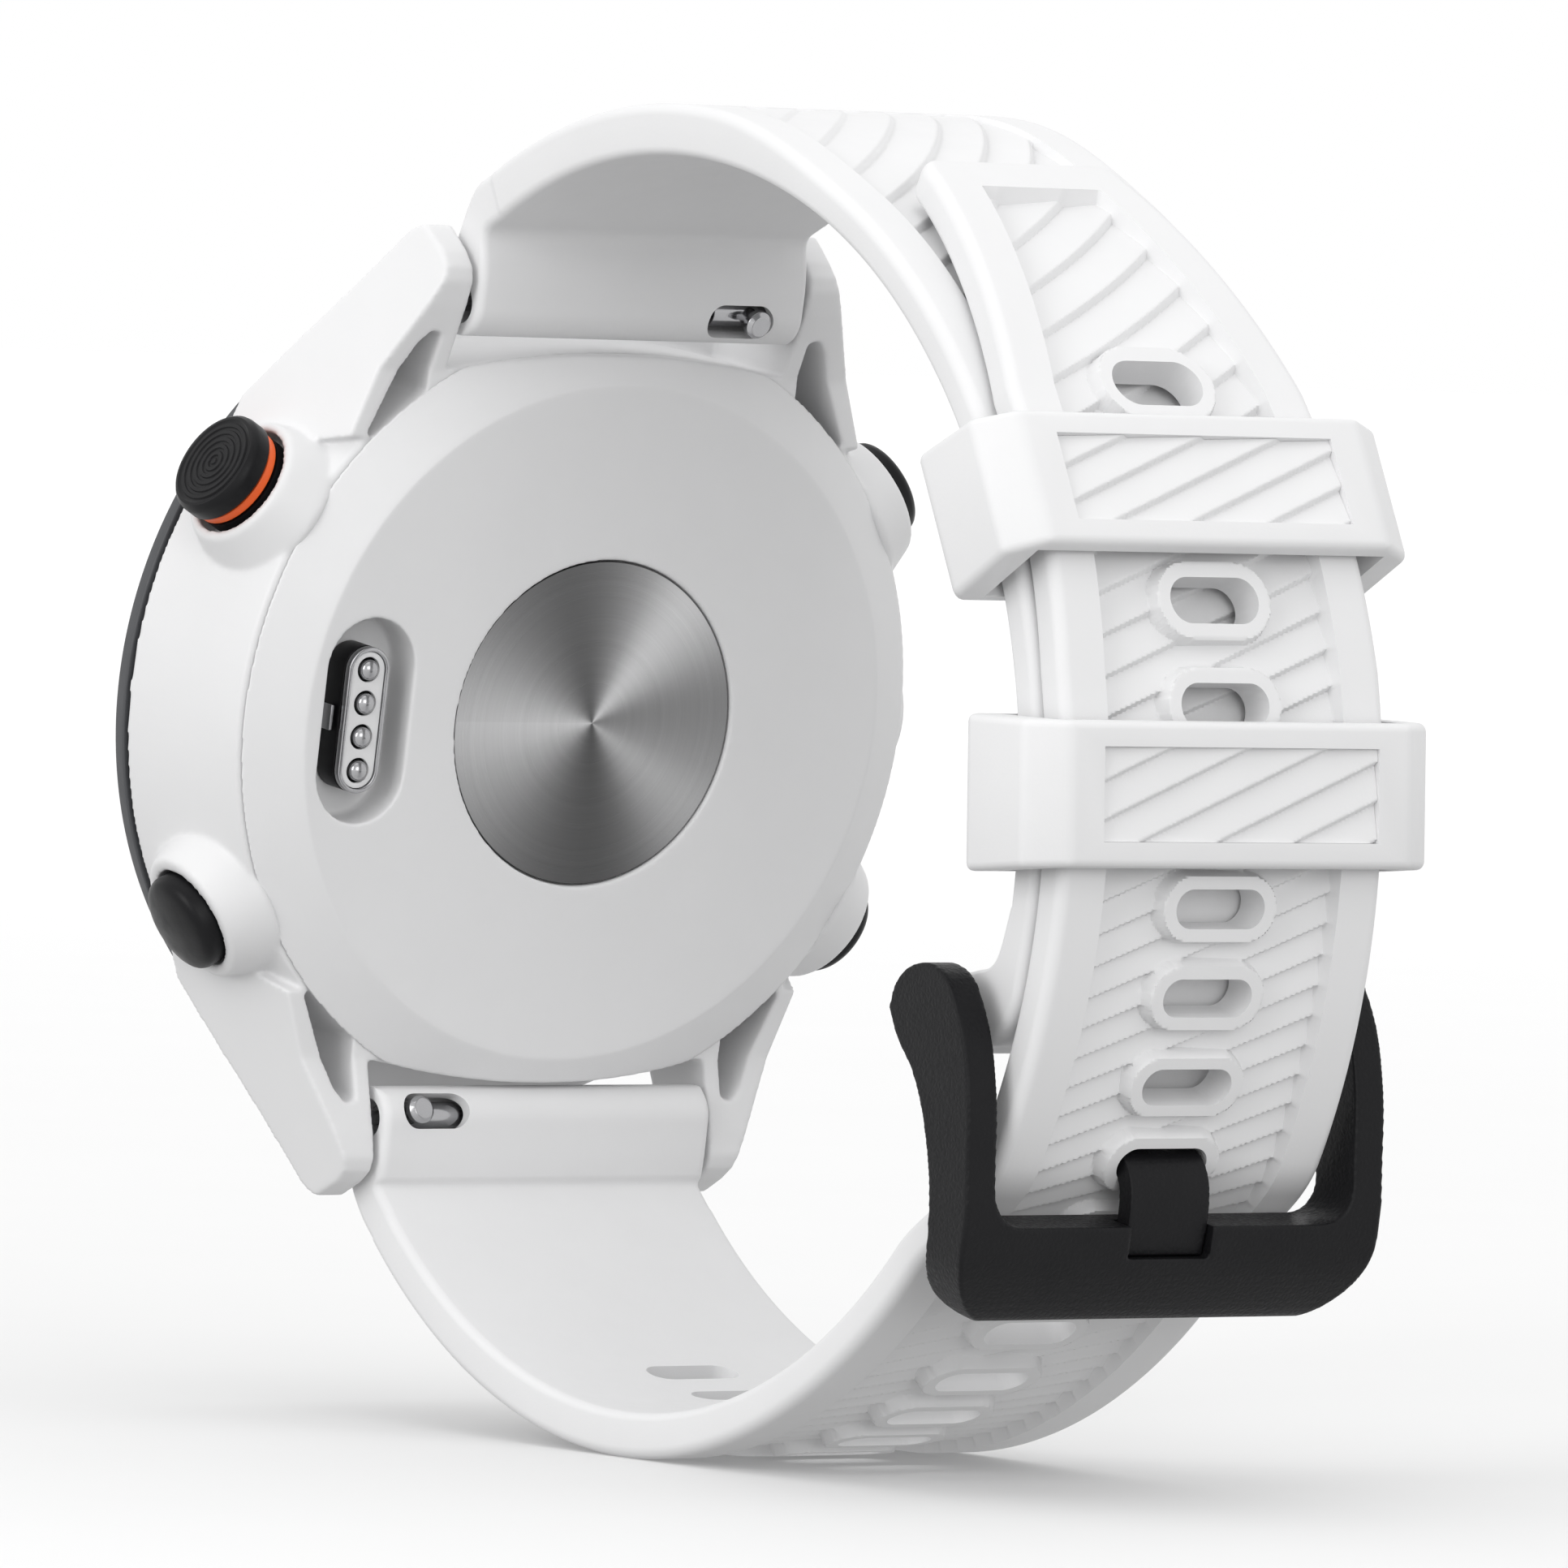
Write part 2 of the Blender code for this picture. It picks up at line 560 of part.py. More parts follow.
def ring(name, radii, heights, look, root, place=CASE_AXIS, sides=RING_SIDES, origin=(0, 0, 0)):
    """Plain ring between two radii and two heights."""
    low_r, high_r = radii
    low, high = heights
    profile = [(low_r, low), (high_r, low), (high_r, high), (low_r, high)]
    return add_object(name, turned(profile, place, sides), look, root, origin)


def make_case_parts(root):
    """Plate, bezel, glass, gaskets, display and the parts of the inside."""
    plate = [(0, PLATE_FRONT_X - PLATE_THICK), (PLATE_R, PLATE_FRONT_X - PLATE_THICK),
             (PLATE_R, PLATE_FRONT_X - PLATE_EDGE), (PLATE_R - PLATE_EDGE, PLATE_FRONT_X), (0, PLATE_FRONT_X)]
    add_object("back_plate", turned(plate, CASE_AXIS, RING_SIDES), "brushed_steel", root)
    bezel = [(BEZEL_INNER_R, BEZEL_REAR_X), (BEZEL_INNER_R, BEZEL_FRONT_X),
             (BEZEL_OUTER_R - BEZEL_SLOPE, BEZEL_FRONT_X), (BEZEL_OUTER_R, BEZEL_FRONT_X + BEZEL_SLOPE),
             (BEZEL_OUTER_R, BEZEL_REAR_X)]
    add_object("bezel_ring", turned(bezel, CASE_AXIS, CASE_SIDES), "bezel_grey", root)
    glass = [(0, GLASS_FRONT_X), (GLASS_R - GLASS_EDGE, GLASS_FRONT_X), (GLASS_R, GLASS_FRONT_X + GLASS_EDGE),
             (GLASS_R, GLASS_REAR_X), (0, GLASS_REAR_X)]
    add_object("front_glass", turned(glass, CASE_AXIS, CASE_SIDES), "glass", root)
    ring("front_gasket", FRONT_GASKET_R, FRONT_GASKET_X, "nitrile", root)
    ring("rear_gasket", GASKET_R, GASKET_X, "nitrile", root)
    add_object("display_panel", turned(rod(DISPLAY_R, *DISPLAY_X), CASE_AXIS, RING_SIDES), "display", root)
    frame = [(FRAME_RING_R[0], FRAME_RING_X[0]), (FRAME_RING_R[1], FRAME_RING_X[0]),
             (FRAME_RING_R[1], FRAME_RING_X[1]), (FRAME_SHELF_R, FRAME_RING_X[1]),
             (FRAME_SHELF_R, FRAME_SHELF_X), (FRAME_RING_R[0], FRAME_SHELF_X)]
    add_object("display_frame", turned(frame, CASE_AXIS, RING_SIDES), "black_polymer", root)
    add_object("main_board", turned(rod(BOARD_R, *BOARD_X), CASE_AXIS, RING_SIDES), "circuit_board", root)
    world = Matrix.Identity(4)
    battery = add_object("battery", box(BATTERY_CENTRE, BATTERY_SIZE, world), "battery_foil", root)
    bevel = battery.modifiers.new("edges", "BEVEL")
    bevel.width = BATTERY_EDGE
    bevel.segments = 2
    add_object("shield_can", box(SHIELD_CENTRE, SHIELD_SIZE, world), "polished_steel", root)
    make_antenna(root)


def make_antenna(root):
    """Curved ceramic strip along the 12 o'clock wall."""
    steps = 12
    start, stop = (math.radians(angle) for angle in ANTENNA_ANGLES)
    turns = [start + (stop - start) * k / steps for k in range(steps + 1)]
    inner_r, outer_r = ANTENNA_R
    outline = [(outer_r * math.cos(turn), outer_r * math.sin(turn)) for turn in turns]
    outline += [(inner_r * math.cos(turn), inner_r * math.sin(turn)) for turn in reversed(turns)]
    add_object("gps_antenna", prism(outline, CASE_AXIS, *ANTENNA_X), "gold", root)


def make_charge_port(root):
    """Contact block with its rim, face, four contacts and side latch."""
    place = port_frame()
    add_object("charge_port_block", prism(stadium(BLOCK_HALF_WIDTH, BLOCK_HALF_LENGTH), place,
                                          PORT_FLOOR_X + 0.1 * MM, BLOCK_TOP_X), "black_polymer", root)
    rim = add_object("charge_port_rim", prism(stadium(BLOCK_HALF_WIDTH, BLOCK_HALF_LENGTH), place,
                                              BLOCK_TOP_X + 0.1 * MM, RIM_TOP_X), "polished_steel", root)
    inner = (BLOCK_HALF_WIDTH - RIM_WALL, BLOCK_HALF_LENGTH - RIM_WALL)
    hole = add_object("cut_rim", prism(stadium(*inner), place, -FAR, FAR), "polished_steel", root)
    boolean(rim, [hole], "DIFFERENCE")
    face = add_object("charge_port_face", prism(stadium(inner[0] - FACE_GAP, inner[1] - FACE_GAP), place,
                                                BLOCK_TOP_X + 0.1 * MM, RIM_TOP_X - 0.1 * MM), "white_polymer", root)
    holes = []
    for k in range(4):
        shift = (k - 1.5) * CONTACT_PITCH
        spot = axis_frame((0, PORT_Y, shift), (1, 0, 0), (0, 1, 0))
        base = BLOCK_TOP_X + 0.1 * MM
        shoulder = CONTACT_TOP_X - CONTACT_R * 0.75
        dome = [(0, base), (CONTACT_R, base), (CONTACT_R, shoulder)]
        for step in range(1, 4):
            turn = math.pi / 2 * step / 4
            dome.append((CONTACT_R * math.cos(turn), shoulder + CONTACT_R * 0.75 * math.sin(turn)))
        dome.append((0, CONTACT_TOP_X))
        add_object("charge_contact_%d" % (k + 1), turned(dome, spot, SMALL_SIDES), "gold", root)
        hole = turned(rod(CONTACT_HOLE_R, -FAR, FAR), spot, SMALL_SIDES)
        holes.append(add_object("cut_contact_%d" % (k + 1), hole, "white_polymer", root))
    boolean(face, holes, "DIFFERENCE")
    latch = box((-BLOCK_HALF_WIDTH - 0.25 * MM, 0, -1.1 * MM), (0.25 * MM, 1.3 * MM, 0.9 * MM), place)
    add_object("charge_port_latch", latch, "polished_steel", root)


def button_profile(cap_r, face, is_start):
    """Turned section of a cap and its stem: (radius, distance from the case axis)."""
    edge = 0.35 * MM
    if is_start:
        head = [(0, face), (cap_r - edge, face), (cap_r, face - edge), (cap_r, START_CAP_BASE_AT),
                (START_NECK_R, START_CAP_BASE_AT), (START_NECK_R, START_RING_AT[0] - 0.13 * MM),
                (START_RING_R[1], START_RING_AT[0] - 0.13 * MM), (START_RING_R[1], CAP_FLOOR_AT)]
    else:
        head = [(0, face), (cap_r * 0.55, face - 0.10 * MM), (cap_r * 0.85, face - 0.30 * MM),
                (cap_r, face - 0.75 * MM), (cap_r, CAP_FLOOR_AT)]
    neck_low, neck_high = STEM_NECK_AT
    stem = [(STEM_R, CAP_FLOOR_AT), (STEM_R, neck_high), (STEM_NECK_R, neck_high), (STEM_NECK_R, neck_low),
            (STEM_R, neck_low), (STEM_R, STEM_END_AT), (0, STEM_END_AT)]
    return head + stem


def make_clip(name, place, origin, root):
    """C-shaped retaining clip on a button's stem."""
    steps = 10
    opening = math.radians(35)
    turns = [opening + (2 * math.pi - 2 * opening) * k / steps for k in range(steps + 1)]
    outline = [(CLIP_R[1] * math.cos(turn), CLIP_R[1] * math.sin(turn)) for turn in turns]
    outline += [(CLIP_R[0] * math.cos(turn), CLIP_R[0] * math.sin(turn)) for turn in reversed(turns)]
    add_object(name, prism(outline, place, *CLIP_AT), "polished_steel", root, origin)


def make_buttons(root):
    """Five push buttons: cap with stem, seal, retaining clip and switch."""
    for label, (angle, cap_r, face, depth) in BUTTONS.items():
        place = button_frame(angle, depth)
        origin = place @ Vector((0, 0, CAP_FLOOR_AT))
        is_start = label == "start"
        profile = button_profile(cap_r, face, is_start)
        add_object("button_" + label, turned(profile, place, BUTTON_SIDES), "black_polymer", root, origin)
        if is_start:
            ring("button_start_ring", START_RING_R, START_RING_AT, "orange_polymer", root, place,
                 BUTTON_SIDES, origin)
        make_clip("clip_" + label, place, origin, root)
        ring("seal_" + label, SEAL_R, SEAL_AT, "nitrile", root, place, SMALL_SIDES)
        low, high = SWITCH_AT
        half_x, half_y = SWITCH_HALF
        switch = box((0, 0, (low + high) / 2), (2 * half_x, 2 * half_y, high - low), place)
        add_object("switch_" + label, switch, "black_polymer", root)


def knuckle_stations(label):
    """Rounded strap end about a spring bar, from its free edge towards the loop."""
    end, bar_z = BARS[label]
    stations = []
    for degrees in (12, 30, 50, 70, 90):
        turn = math.radians(degrees)
        reach = KNUCKLE_R * math.sin(turn)
        z = end * (bar_z - KNUCKLE_R * math.cos(turn))
        stations.append(((BAR_X + reach, z), (BAR_X - reach, z), STRAP_HALF_WIDTH - 0.05 * MM))
    for inner, outer in LUG_STRETCH:
        inner_point = (inner[0] * MM, end * inner[1] * MM)
        outer_point = (outer[0] * MM, end * outer[1] * MM)
        stations.append((inner_point, outer_point, STRAP_HALF_WIDTH))
    return stations


def arc_stations(start, stop, inner, outer, half):
    """Stations along the loop; the radii and the half width are functions of the angle."""
    count = max(2, round(abs(stop - start) / ANGLE_STEP))
    stations = []
    for k in range(count + 1):
        angle = start + (stop - start) * k / count
        stations.append((on_loop(inner(angle), angle), on_loop(outer(angle), angle), half(angle)))
    return stations


def tail_half_width(angle):
    """Half width of the long strap: it narrows slowly, then faster, and rounds off at the tip."""
    settled = STRAP_HALF_WIDTH + (TAIL_HALF_WIDTH - STRAP_HALF_WIDTH) * smoothstep(angle, -60.0, 10.0)
    if angle <= TAPER_START_ANGLE:
        return settled
    if angle <= TAPER_MID_ANGLE:
        share = (angle - TAPER_START_ANGLE) / (TAPER_MID_ANGLE - TAPER_START_ANGLE)
        return TAIL_HALF_WIDTH + (TAPER_MID_HALF - TAIL_HALF_WIDTH) * share
    tip_start = TAIL_END_ANGLE - TAIL_TIP_SPAN
    share = min((angle - TAPER_MID_ANGLE) / (tip_start - TAPER_MID_ANGLE), 1.0)
    half = TAPER_MID_HALF + (TAPER_END_HALF - TAPER_MID_HALF) * share
    if angle > tip_start:
        rest = (angle - tip_start) / TAIL_TIP_SPAN
        half -= (TAPER_END_HALF - TAIL_TIP_HALF) * (1 - math.sqrt(max(0.0, 1 - rest * rest)))
    return half


def layer_shift(angle):
    """0 where the long strap is the only layer, 1 where it lies over the short strap."""
    return smoothstep(angle, *LAYER_SHIFT_ANGLES)


def long_inner(angle):
    """Inner radius of the long strap."""
    return STRAP_INNER_R + (TAIL_INNER_R - STRAP_INNER_R) * layer_shift(angle)


def long_outer(angle):
    """Outer radius of the long strap, which is thicker towards the case."""
    thicker = LONG_THICKEN * smoothstep(-angle, *LONG_THICKEN_ANGLES)
    return STRAP_OUTER_R + thicker + (TAIL_OUTER_R - STRAP_OUTER_R) * layer_shift(angle)


def short_outer(angle):
    """Outer radius of the short strap, which is thicker towards the case."""
    return STRAP_OUTER_R + SHORT_THICKEN * smoothstep(angle, *SHORT_THICKEN_ANGLES)


def short_half_width(angle):
    """Half width of the short strap, which is wider at the case."""
    return SHORT_HALF_WIDTH + (STRAP_HALF_WIDTH - SHORT_HALF_WIDTH) * smoothstep(angle, *SHORT_NARROW_ANGLES)


def bar_frame(label):
    """Local Z along a spring bar, towards its plunger, and local X along the watch's X."""
    side, bar_z = BARS[label]
    return axis_frame((BAR_X, 0, side * bar_z), (0, side, 0), (1, 0, 0))


def knob_frame(label):
    """Local Z along the knob of a plunger, and local Y along the bar."""
    side, bar_z = BARS[label]
    lean = math.radians(KNOB_LEAN[label])
    outward = (math.cos(lean), 0, -side * math.sin(lean))
    return axis_frame((BAR_X, side * KNOB_Y[label], side * bar_z), outward, (0, side, 0))


def bar_cutters(label, root):
    """Bore for a spring bar and the slot for its knob in a strap end."""
    bore = rod(KNUCKLE_BORE_R, -FAR - STRAP_HALF_WIDTH, FAR + STRAP_HALF_WIDTH)
    low, high = KNOB_SLOT_REACH
    slot_half = KNOB_R + GAP
    slot = box(((low + high) / 2, 0, FAR / 2), (high - low, 2 * slot_half, FAR), knob_frame(label))
    return [add_object("cut_bar_" + label, turned(bore, bar_frame(label), SMALL_SIDES), "white_silicone", root),
            add_object("cut_knob_slot_" + label, slot, "white_silicone", root)]


def make_long_strap(root):
    """Six o'clock strap: spring bar end, loop, slots and the tapered tail."""
    stations = knuckle_stations("bottom")
    tip_start = TAIL_END_ANGLE - TAIL_TIP_SPAN
    stations += arc_stations(-LUG_END_ANGLE, tip_start, long_inner, long_outer, tail_half_width)
    tip_steps = (0.45, 0.75, 0.92, 1.0)
    for step in tip_steps:
        angle = TAIL_END_ANGLE - TAIL_TIP_SPAN * (1 - step)
        stations.append((on_loop(TAIL_INNER_R, angle), on_loop(TAIL_OUTER_R, angle), tail_half_width(angle)))
    strap = add_object("strap_long", swept(stations), "white_silicone", root)
    cuts = bar_cutters("bottom", root)
    outline = stadium(SLOT_HALF_HEIGHT, SLOT_HALF_WIDTH, 4)
    for k, angle in enumerate(SLOT_ANGLES):
        place = loop_frame(angle)
        slot = prism(outline, place, STRAP_INNER_R - FAR / 2, TAIL_OUTER_R + FAR / 2)
        cuts.append(add_object("cut_slot_%d" % k, slot, "white_silicone", root))
    boolean(strap, cuts, "DIFFERENCE")


def pin_end_stations():
    """Strap end that leaves the loop inward and wraps the buckle's pin."""
    half = SHORT_HALF_WIDTH
    tangents = [((48.95, -2.20), (51.35, -2.60)), ((47.40, -3.02), (51.00, -4.40)),
                ((45.95, -3.55), (49.90, -6.00)), ((45.32, -4.70), (48.70, -6.45)),
                ((45.60, -6.05), (48.00, -6.90)), ((46.40, -6.80), (47.30, -7.02))]
    return [((ix * MM, iz * MM), (ox * MM, oz * MM), half) for (ix, iz), (ox, oz) in tangents]


def make_short_strap(root):
    """Twelve o'clock strap: spring bar end, loop and the knuckles on the buckle's pin."""
    stations = knuckle_stations("top")
    stations += arc_stations(LUG_END_ANGLE, SHORT_END_ANGLE, lambda angle: STRAP_INNER_R, short_outer,
                             short_half_width)
    stations += pin_end_stations()
    strap = add_object("strap_short", swept(stations), "white_silicone", root)
    cuts = bar_cutters("top", root)
    place = axis_frame((PIN_X, 0, PIN_Z), (0, 1, 0), (1, 0, 0))
    bore = rod(PIN_BORE_R, -FAR - PIN_HALF_LENGTH, FAR + PIN_HALF_LENGTH)
    cuts.append(add_object("cut_pin_short", turned(bore, place, SMALL_SIDES), "white_silicone", root))
    notch = box((48.5 * MM, 0, -6.1 * MM), (9 * MM, 2 * STRAP_NOTCH_HALF, 7 * MM), Matrix.Identity(4))
    cuts.append(add_object("cut_tang_notch", notch, "white_silicone", root))
    boolean(strap, cuts, "DIFFERENCE")


def make_keepers(root):
    """Two sliding loops over both straps; their origins are at the loop's centre."""
    origin = (LOOP_X, 0, LOOP_Z)
    for name, angle in KEEPER_ANGLES.items():
        place = loop_frame(angle)
        high = KEEPER_HALF_HEIGHT_OUT
        low = KEEPER_HALF_HEIGHT_IN
        wide = KEEPER_HALF_WIDTH
        front = wide - KEEPER_CHAMFER * 1.5
        section = [(-wide, KEEPER_INNER_R + 0.6 * MM), (-wide + 0.6 * MM, KEEPER_INNER_R),
                   (wide - 0.6 * MM, KEEPER_INNER_R), (wide, KEEPER_INNER_R + 0.6 * MM),
                   (wide, KEEPER_OUTER_R - KEEPER_CHAMFER), (front, KEEPER_OUTER_R),
                   (-front, KEEPER_OUTER_R), (-wide, KEEPER_OUTER_R - KEEPER_CHAMFER)]
        bm = bmesh.new()
        rows = []
        for end in (-1, 1):
            row = []
            for y, radius in section:
                share = (radius - KEEPER_INNER_R) / (KEEPER_OUTER_R - KEEPER_INNER_R)
                reach = low + (high - low) * share
                row.append(bm.verts.new(place @ Vector((end * reach, y, radius))))
            rows.append(row)
        bm.faces.new(rows[0])
        bm.faces.new(rows[1])
        for k in range(len(section)):
            n = (k + 1) % len(section)
            bm.faces.new((rows[0][k], rows[0][n], rows[1][n], rows[1][k]))
        keeper = add_object(name, bm, "white_silicone", root, origin)
        low_r, high_r = KEEPER_CHANNEL
        channel = box((0, 0, (low_r + high_r) / 2), (4 * low, 2 * KEEPER_CHANNEL_HALF, high_r - low_r), place)
        boolean(keeper, [add_object("cut_" + name, channel, "white_silicone", root)], "DIFFERENCE")


def make_buckle(root):
    """Buckle frame, tang and pin; frame and tang have their origins on the pin's axis."""
    origin = (PIN_X, 0, PIN_Z)
    along_y = axis_frame((0, 0, 0), (0, -1, 0), (1, 0, 0))
    side = [(x * MM, z * MM) for x, z in FRAME_SIDE]
    frame = add_object("buckle_frame", prism(side, along_y, -FRAME_HALF_WIDTH, FRAME_HALF_WIDTH),
                       "black_polymer", root, origin)
    wide = FRAME_HALF_WIDTH
    inner = FRAME_OPENING_HALF
    outline = rounded_outline([(-wide, FRAME_TOP_Z, 0), (-wide, FRAME_BOTTOM_Z, FRAME_CORNER_R),
                               (wide, FRAME_BOTTOM_Z, FRAME_CORNER_R), (wide, FRAME_TOP_Z, 0),
                               (inner, FRAME_TOP_Z, 0), (inner, FRAME_OPENING_Z, FRAME_INNER_CORNER_R),
                               (-inner, FRAME_OPENING_Z, FRAME_INNER_CORNER_R), (-inner, FRAME_TOP_Z, 0)])
    window = add_object("keep_buckle_u", prism(outline, CASE_AXIS, 40 * MM, 60 * MM), "black_polymer", root)
    boolean(frame, [window], "INTERSECT")
    pin_place = axis_frame(origin, (0, 1, 0), (1, 0, 0))
    reach = PIN_HALF_LENGTH + GAP
    bore = rod(PIN_BORE_R, -reach, reach)
    notch_size = (5 * MM, 2 * NOTCH_HALF_WIDTH, 5 * MM)
    notch_centre = (NOTCH_FLOOR_X + notch_size[0] / 2, 0, NOTCH_BOTTOM_Z + notch_size[2] / 2)
    boolean(frame, [add_object("cut_frame_bore", turned(bore, pin_place, SMALL_SIDES), "black_polymer", root),
                    add_object("cut_frame_notch", box(notch_centre, notch_size, Matrix.Identity(4)),
                               "black_polymer", root)], "DIFFERENCE")
    pin = rod(PIN_R, -PIN_HALF_LENGTH, PIN_HALF_LENGTH)
    add_object("buckle_pin", turned(pin, pin_place, SMALL_SIDES), "polished_steel", root)
    make_tang(root, origin, pin_place)


def make_tang(root, origin, pin_place):
    """Tongue: an eye on the pin and a strip that passes the slot and rests in the frame's notch."""
    points = [Vector((x * MM, z * MM)) for x, z in TANG_PATH]
    stations = []
    for k, point in enumerate(points):
        ahead = points[min(k + 1, len(points) - 1)]
        behind = points[max(k - 1, 0)]
        along = (ahead - behind).normalized()
        across = Vector((-along.y, along.x)) * TANG_HALF_THICK
        stations.append((tuple(point - across), tuple(point + across), TANG_HALF_WIDTH))
    tang = add_object("buckle_tang", swept(stations), "black_polymer", root, origin)
    half = TANG_HALF_WIDTH
    eye = turned(rod(TANG_EYE_R, -half, half), pin_place, BUTTON_SIDES)
    boolean(tang, [add_object("join_tang_eye", eye, "black_polymer", root)], "UNION")
    bore = turned(rod(PIN_BORE_R, -half - MM, half + MM), pin_place, SMALL_SIDES)
    boolean(tang, [add_object("cut_tang_eye", bore, "black_polymer", root)], "DIFFERENCE")


def helix_tube(place, turns, coil_r, wire_r, low, high):
    """Closed coil spring about local Z."""
    bm = bmesh.new()
    per_turn = 6
    wire_sides = 4
    count = turns * per_turn
    rings = []
    for k in range(count + 1):
        turn = 2 * math.pi * k / per_turn
        height = low + (high - low) * k / count
        ring_points = []
        for m in range(wire_sides):
            swing = 2 * math.pi * m / wire_sides
            radius = coil_r + wire_r * math.cos(swing)
            spot = Vector((radius * math.cos(turn), radius * math.sin(turn), height + wire_r * math.sin(swing)))
            ring_points.append(bm.verts.new(place @ spot))
        rings.append(ring_points)
    bm.faces.new(rings[0])
    bm.faces.new(rings[-1])
    for a, b in zip(rings, rings[1:]):
        for m in range(wire_sides):
            n = (m + 1) % wire_sides
            bm.faces.new((a[m], a[n], b[n], b[m]))
    return bm


def make_spring_bars(root):
    """Quick-release spring bars: tube with a fixed tip, plunger with a knob, spring."""
    for label in BARS:
        place = bar_frame(label)
        low, high = BAR_TUBE_Y
        bore_floor = BAR_SPRING_Y[0] - 2 * BAR_SPRING_WIRE_R
        tube = [(0, -BAR_TIP_Y), (BAR_TIP_R, -BAR_TIP_Y), (BAR_TIP_R, low), (BAR_TUBE_R, low), (BAR_TUBE_R, high),
                (BAR_TUBE_BORE_R, high), (BAR_TUBE_BORE_R, bore_floor), (0, bore_floor)]
        add_object("spring_bar_tube_" + label, turned(tube, place, SMALL_SIDES), "polished_steel", root)
        origin = place @ Vector((0, 0, KNOB_Y[label]))
        head_low, head_high = PLUNGER_HEAD_Y
        start, stop = PLUNGER_Y
        plunger = [(0, start), (BAR_TIP_R, start), (BAR_TIP_R, head_low), (BAR_TUBE_R, head_low),
                   (BAR_TUBE_R, head_high), (BAR_TIP_R, head_high), (BAR_TIP_R, stop), (0, stop)]
        body = add_object("spring_bar_plunger_" + label, turned(plunger, place, SMALL_SIDES), "polished_steel",
                          root, origin)
        neck = KNOB_R * 0.7
        knob = [(0, 0), (neck, 0), (neck, KNOB_RISE * 0.62), (KNOB_R, KNOB_RISE * 0.72),
                (KNOB_R, KNOB_RISE * 0.88), (KNOB_R * 0.6, KNOB_RISE), (0, KNOB_RISE)]
        knob_part = add_object("join_knob_" + label, turned(knob, knob_frame(label), SMALL_SIDES),
                               "polished_steel", root)
        boolean(body, [knob_part], "UNION")
        spring = helix_tube(place, BAR_SPRING_TURNS, BAR_SPRING_R, BAR_SPRING_WIRE_R, *BAR_SPRING_Y)
        add_object("spring_bar_coil_" + label, spring, "polished_steel", root)


def stand_on_ground(root):
    """Lean the watch and put the origin under the middle of its box, on the ground."""
    root.rotation_euler = (0, LEAN, 0)
    bpy.context.view_layer.update()
    graph = bpy.context.evaluated_depsgraph_get()
    corners = []
    for obj in bpy.context.scene.objects:
        if obj.type != "MESH" or obj.hide_render:
            continue
        solid = obj.evaluated_get(graph)
        corners += [obj.matrix_world @ vertex.co for vertex in solid.data.vertices]
    points = np.array([tuple(corner) for corner in corners])
    low = points.min(axis=0)
    high = points.max(axis=0)
    root.location = (-(low[0] + high[0]) / 2, -(low[1] + high[1]) / 2, -low[2])
    bpy.context.view_layer.update()


def main():
    """Build the watch."""
    clear_scene()
    root = bpy.data.objects.new("watch", None)
    bpy.context.scene.collection.objects.link(root)
    make_case_body(root)
    make_rear_cover(root)
    make_case_parts(root)
    make_charge_port(root)
    make_buttons(root)
    make_spring_bars(root)
    make_long_strap(root)
    make_short_strap(root)
    make_keepers(root)
    make_buckle(root)
    stand_on_ground(root)


main()
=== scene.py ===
"""Golf GPS watch: detailed pieces, materials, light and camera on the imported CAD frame.

All of the pieces are made in watch axes, in millimetres: X is the outward normal of the case
back, Y runs across the strap and Z points to 12 o'clock.
"""

import json
import math

import bmesh
import bpy
import numpy as np
from mathutils import Matrix, Vector


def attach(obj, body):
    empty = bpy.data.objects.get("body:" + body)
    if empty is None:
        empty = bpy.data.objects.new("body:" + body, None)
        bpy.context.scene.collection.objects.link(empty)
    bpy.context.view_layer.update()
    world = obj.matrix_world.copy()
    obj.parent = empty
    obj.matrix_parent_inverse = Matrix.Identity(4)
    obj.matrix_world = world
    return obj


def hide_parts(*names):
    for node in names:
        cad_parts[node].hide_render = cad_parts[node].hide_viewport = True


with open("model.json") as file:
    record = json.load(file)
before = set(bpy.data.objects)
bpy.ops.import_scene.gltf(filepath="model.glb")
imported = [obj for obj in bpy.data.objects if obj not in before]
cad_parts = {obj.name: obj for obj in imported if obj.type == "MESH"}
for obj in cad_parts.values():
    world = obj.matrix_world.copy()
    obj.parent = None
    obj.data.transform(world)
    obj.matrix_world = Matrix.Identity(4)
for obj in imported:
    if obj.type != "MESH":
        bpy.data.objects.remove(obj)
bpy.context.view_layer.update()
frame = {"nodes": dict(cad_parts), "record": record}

MM = 0.001

# Case
BACK_X = 0.25
BACK_EDGE_X = -1.40
CASE_REAR_X = -1.46
CASE_FRONT_X = -9.00
CASE_FRONT_R = 21.85
BACK_EDGE_R = 20.10
BACK_FLAT_R = 17.22
CAVITY_R = 17.00
CASE_SIDES = 192
ROUND_SIDES = 128
SMALL_SIDES = 48
FINE_SIDES = 256
FAR = 4.0

# Lugs and pockets
LUG_INNER_Y = 10.20
LUG_PROFILE = [(-1.40, 14.0), (-1.40, 17.4), (-0.10, 21.0), (0.20, 22.2), (0.05, 22.9), (-0.60, 23.6),
               (-2.30, 24.7), (-3.00, 24.3), (-5.00, 20.95), (-7.50, 16.95), (-8.80, 14.8), (-8.80, 12.0)]
POCKET_OUTLINE = [(14.10, 14.00), (11.20, 16.40), (11.15, 19.45), (11.75, 19.60), (12.35, 18.90),
                  (14.45, 14.15)]
POCKET_FLOOR_X = -5.5

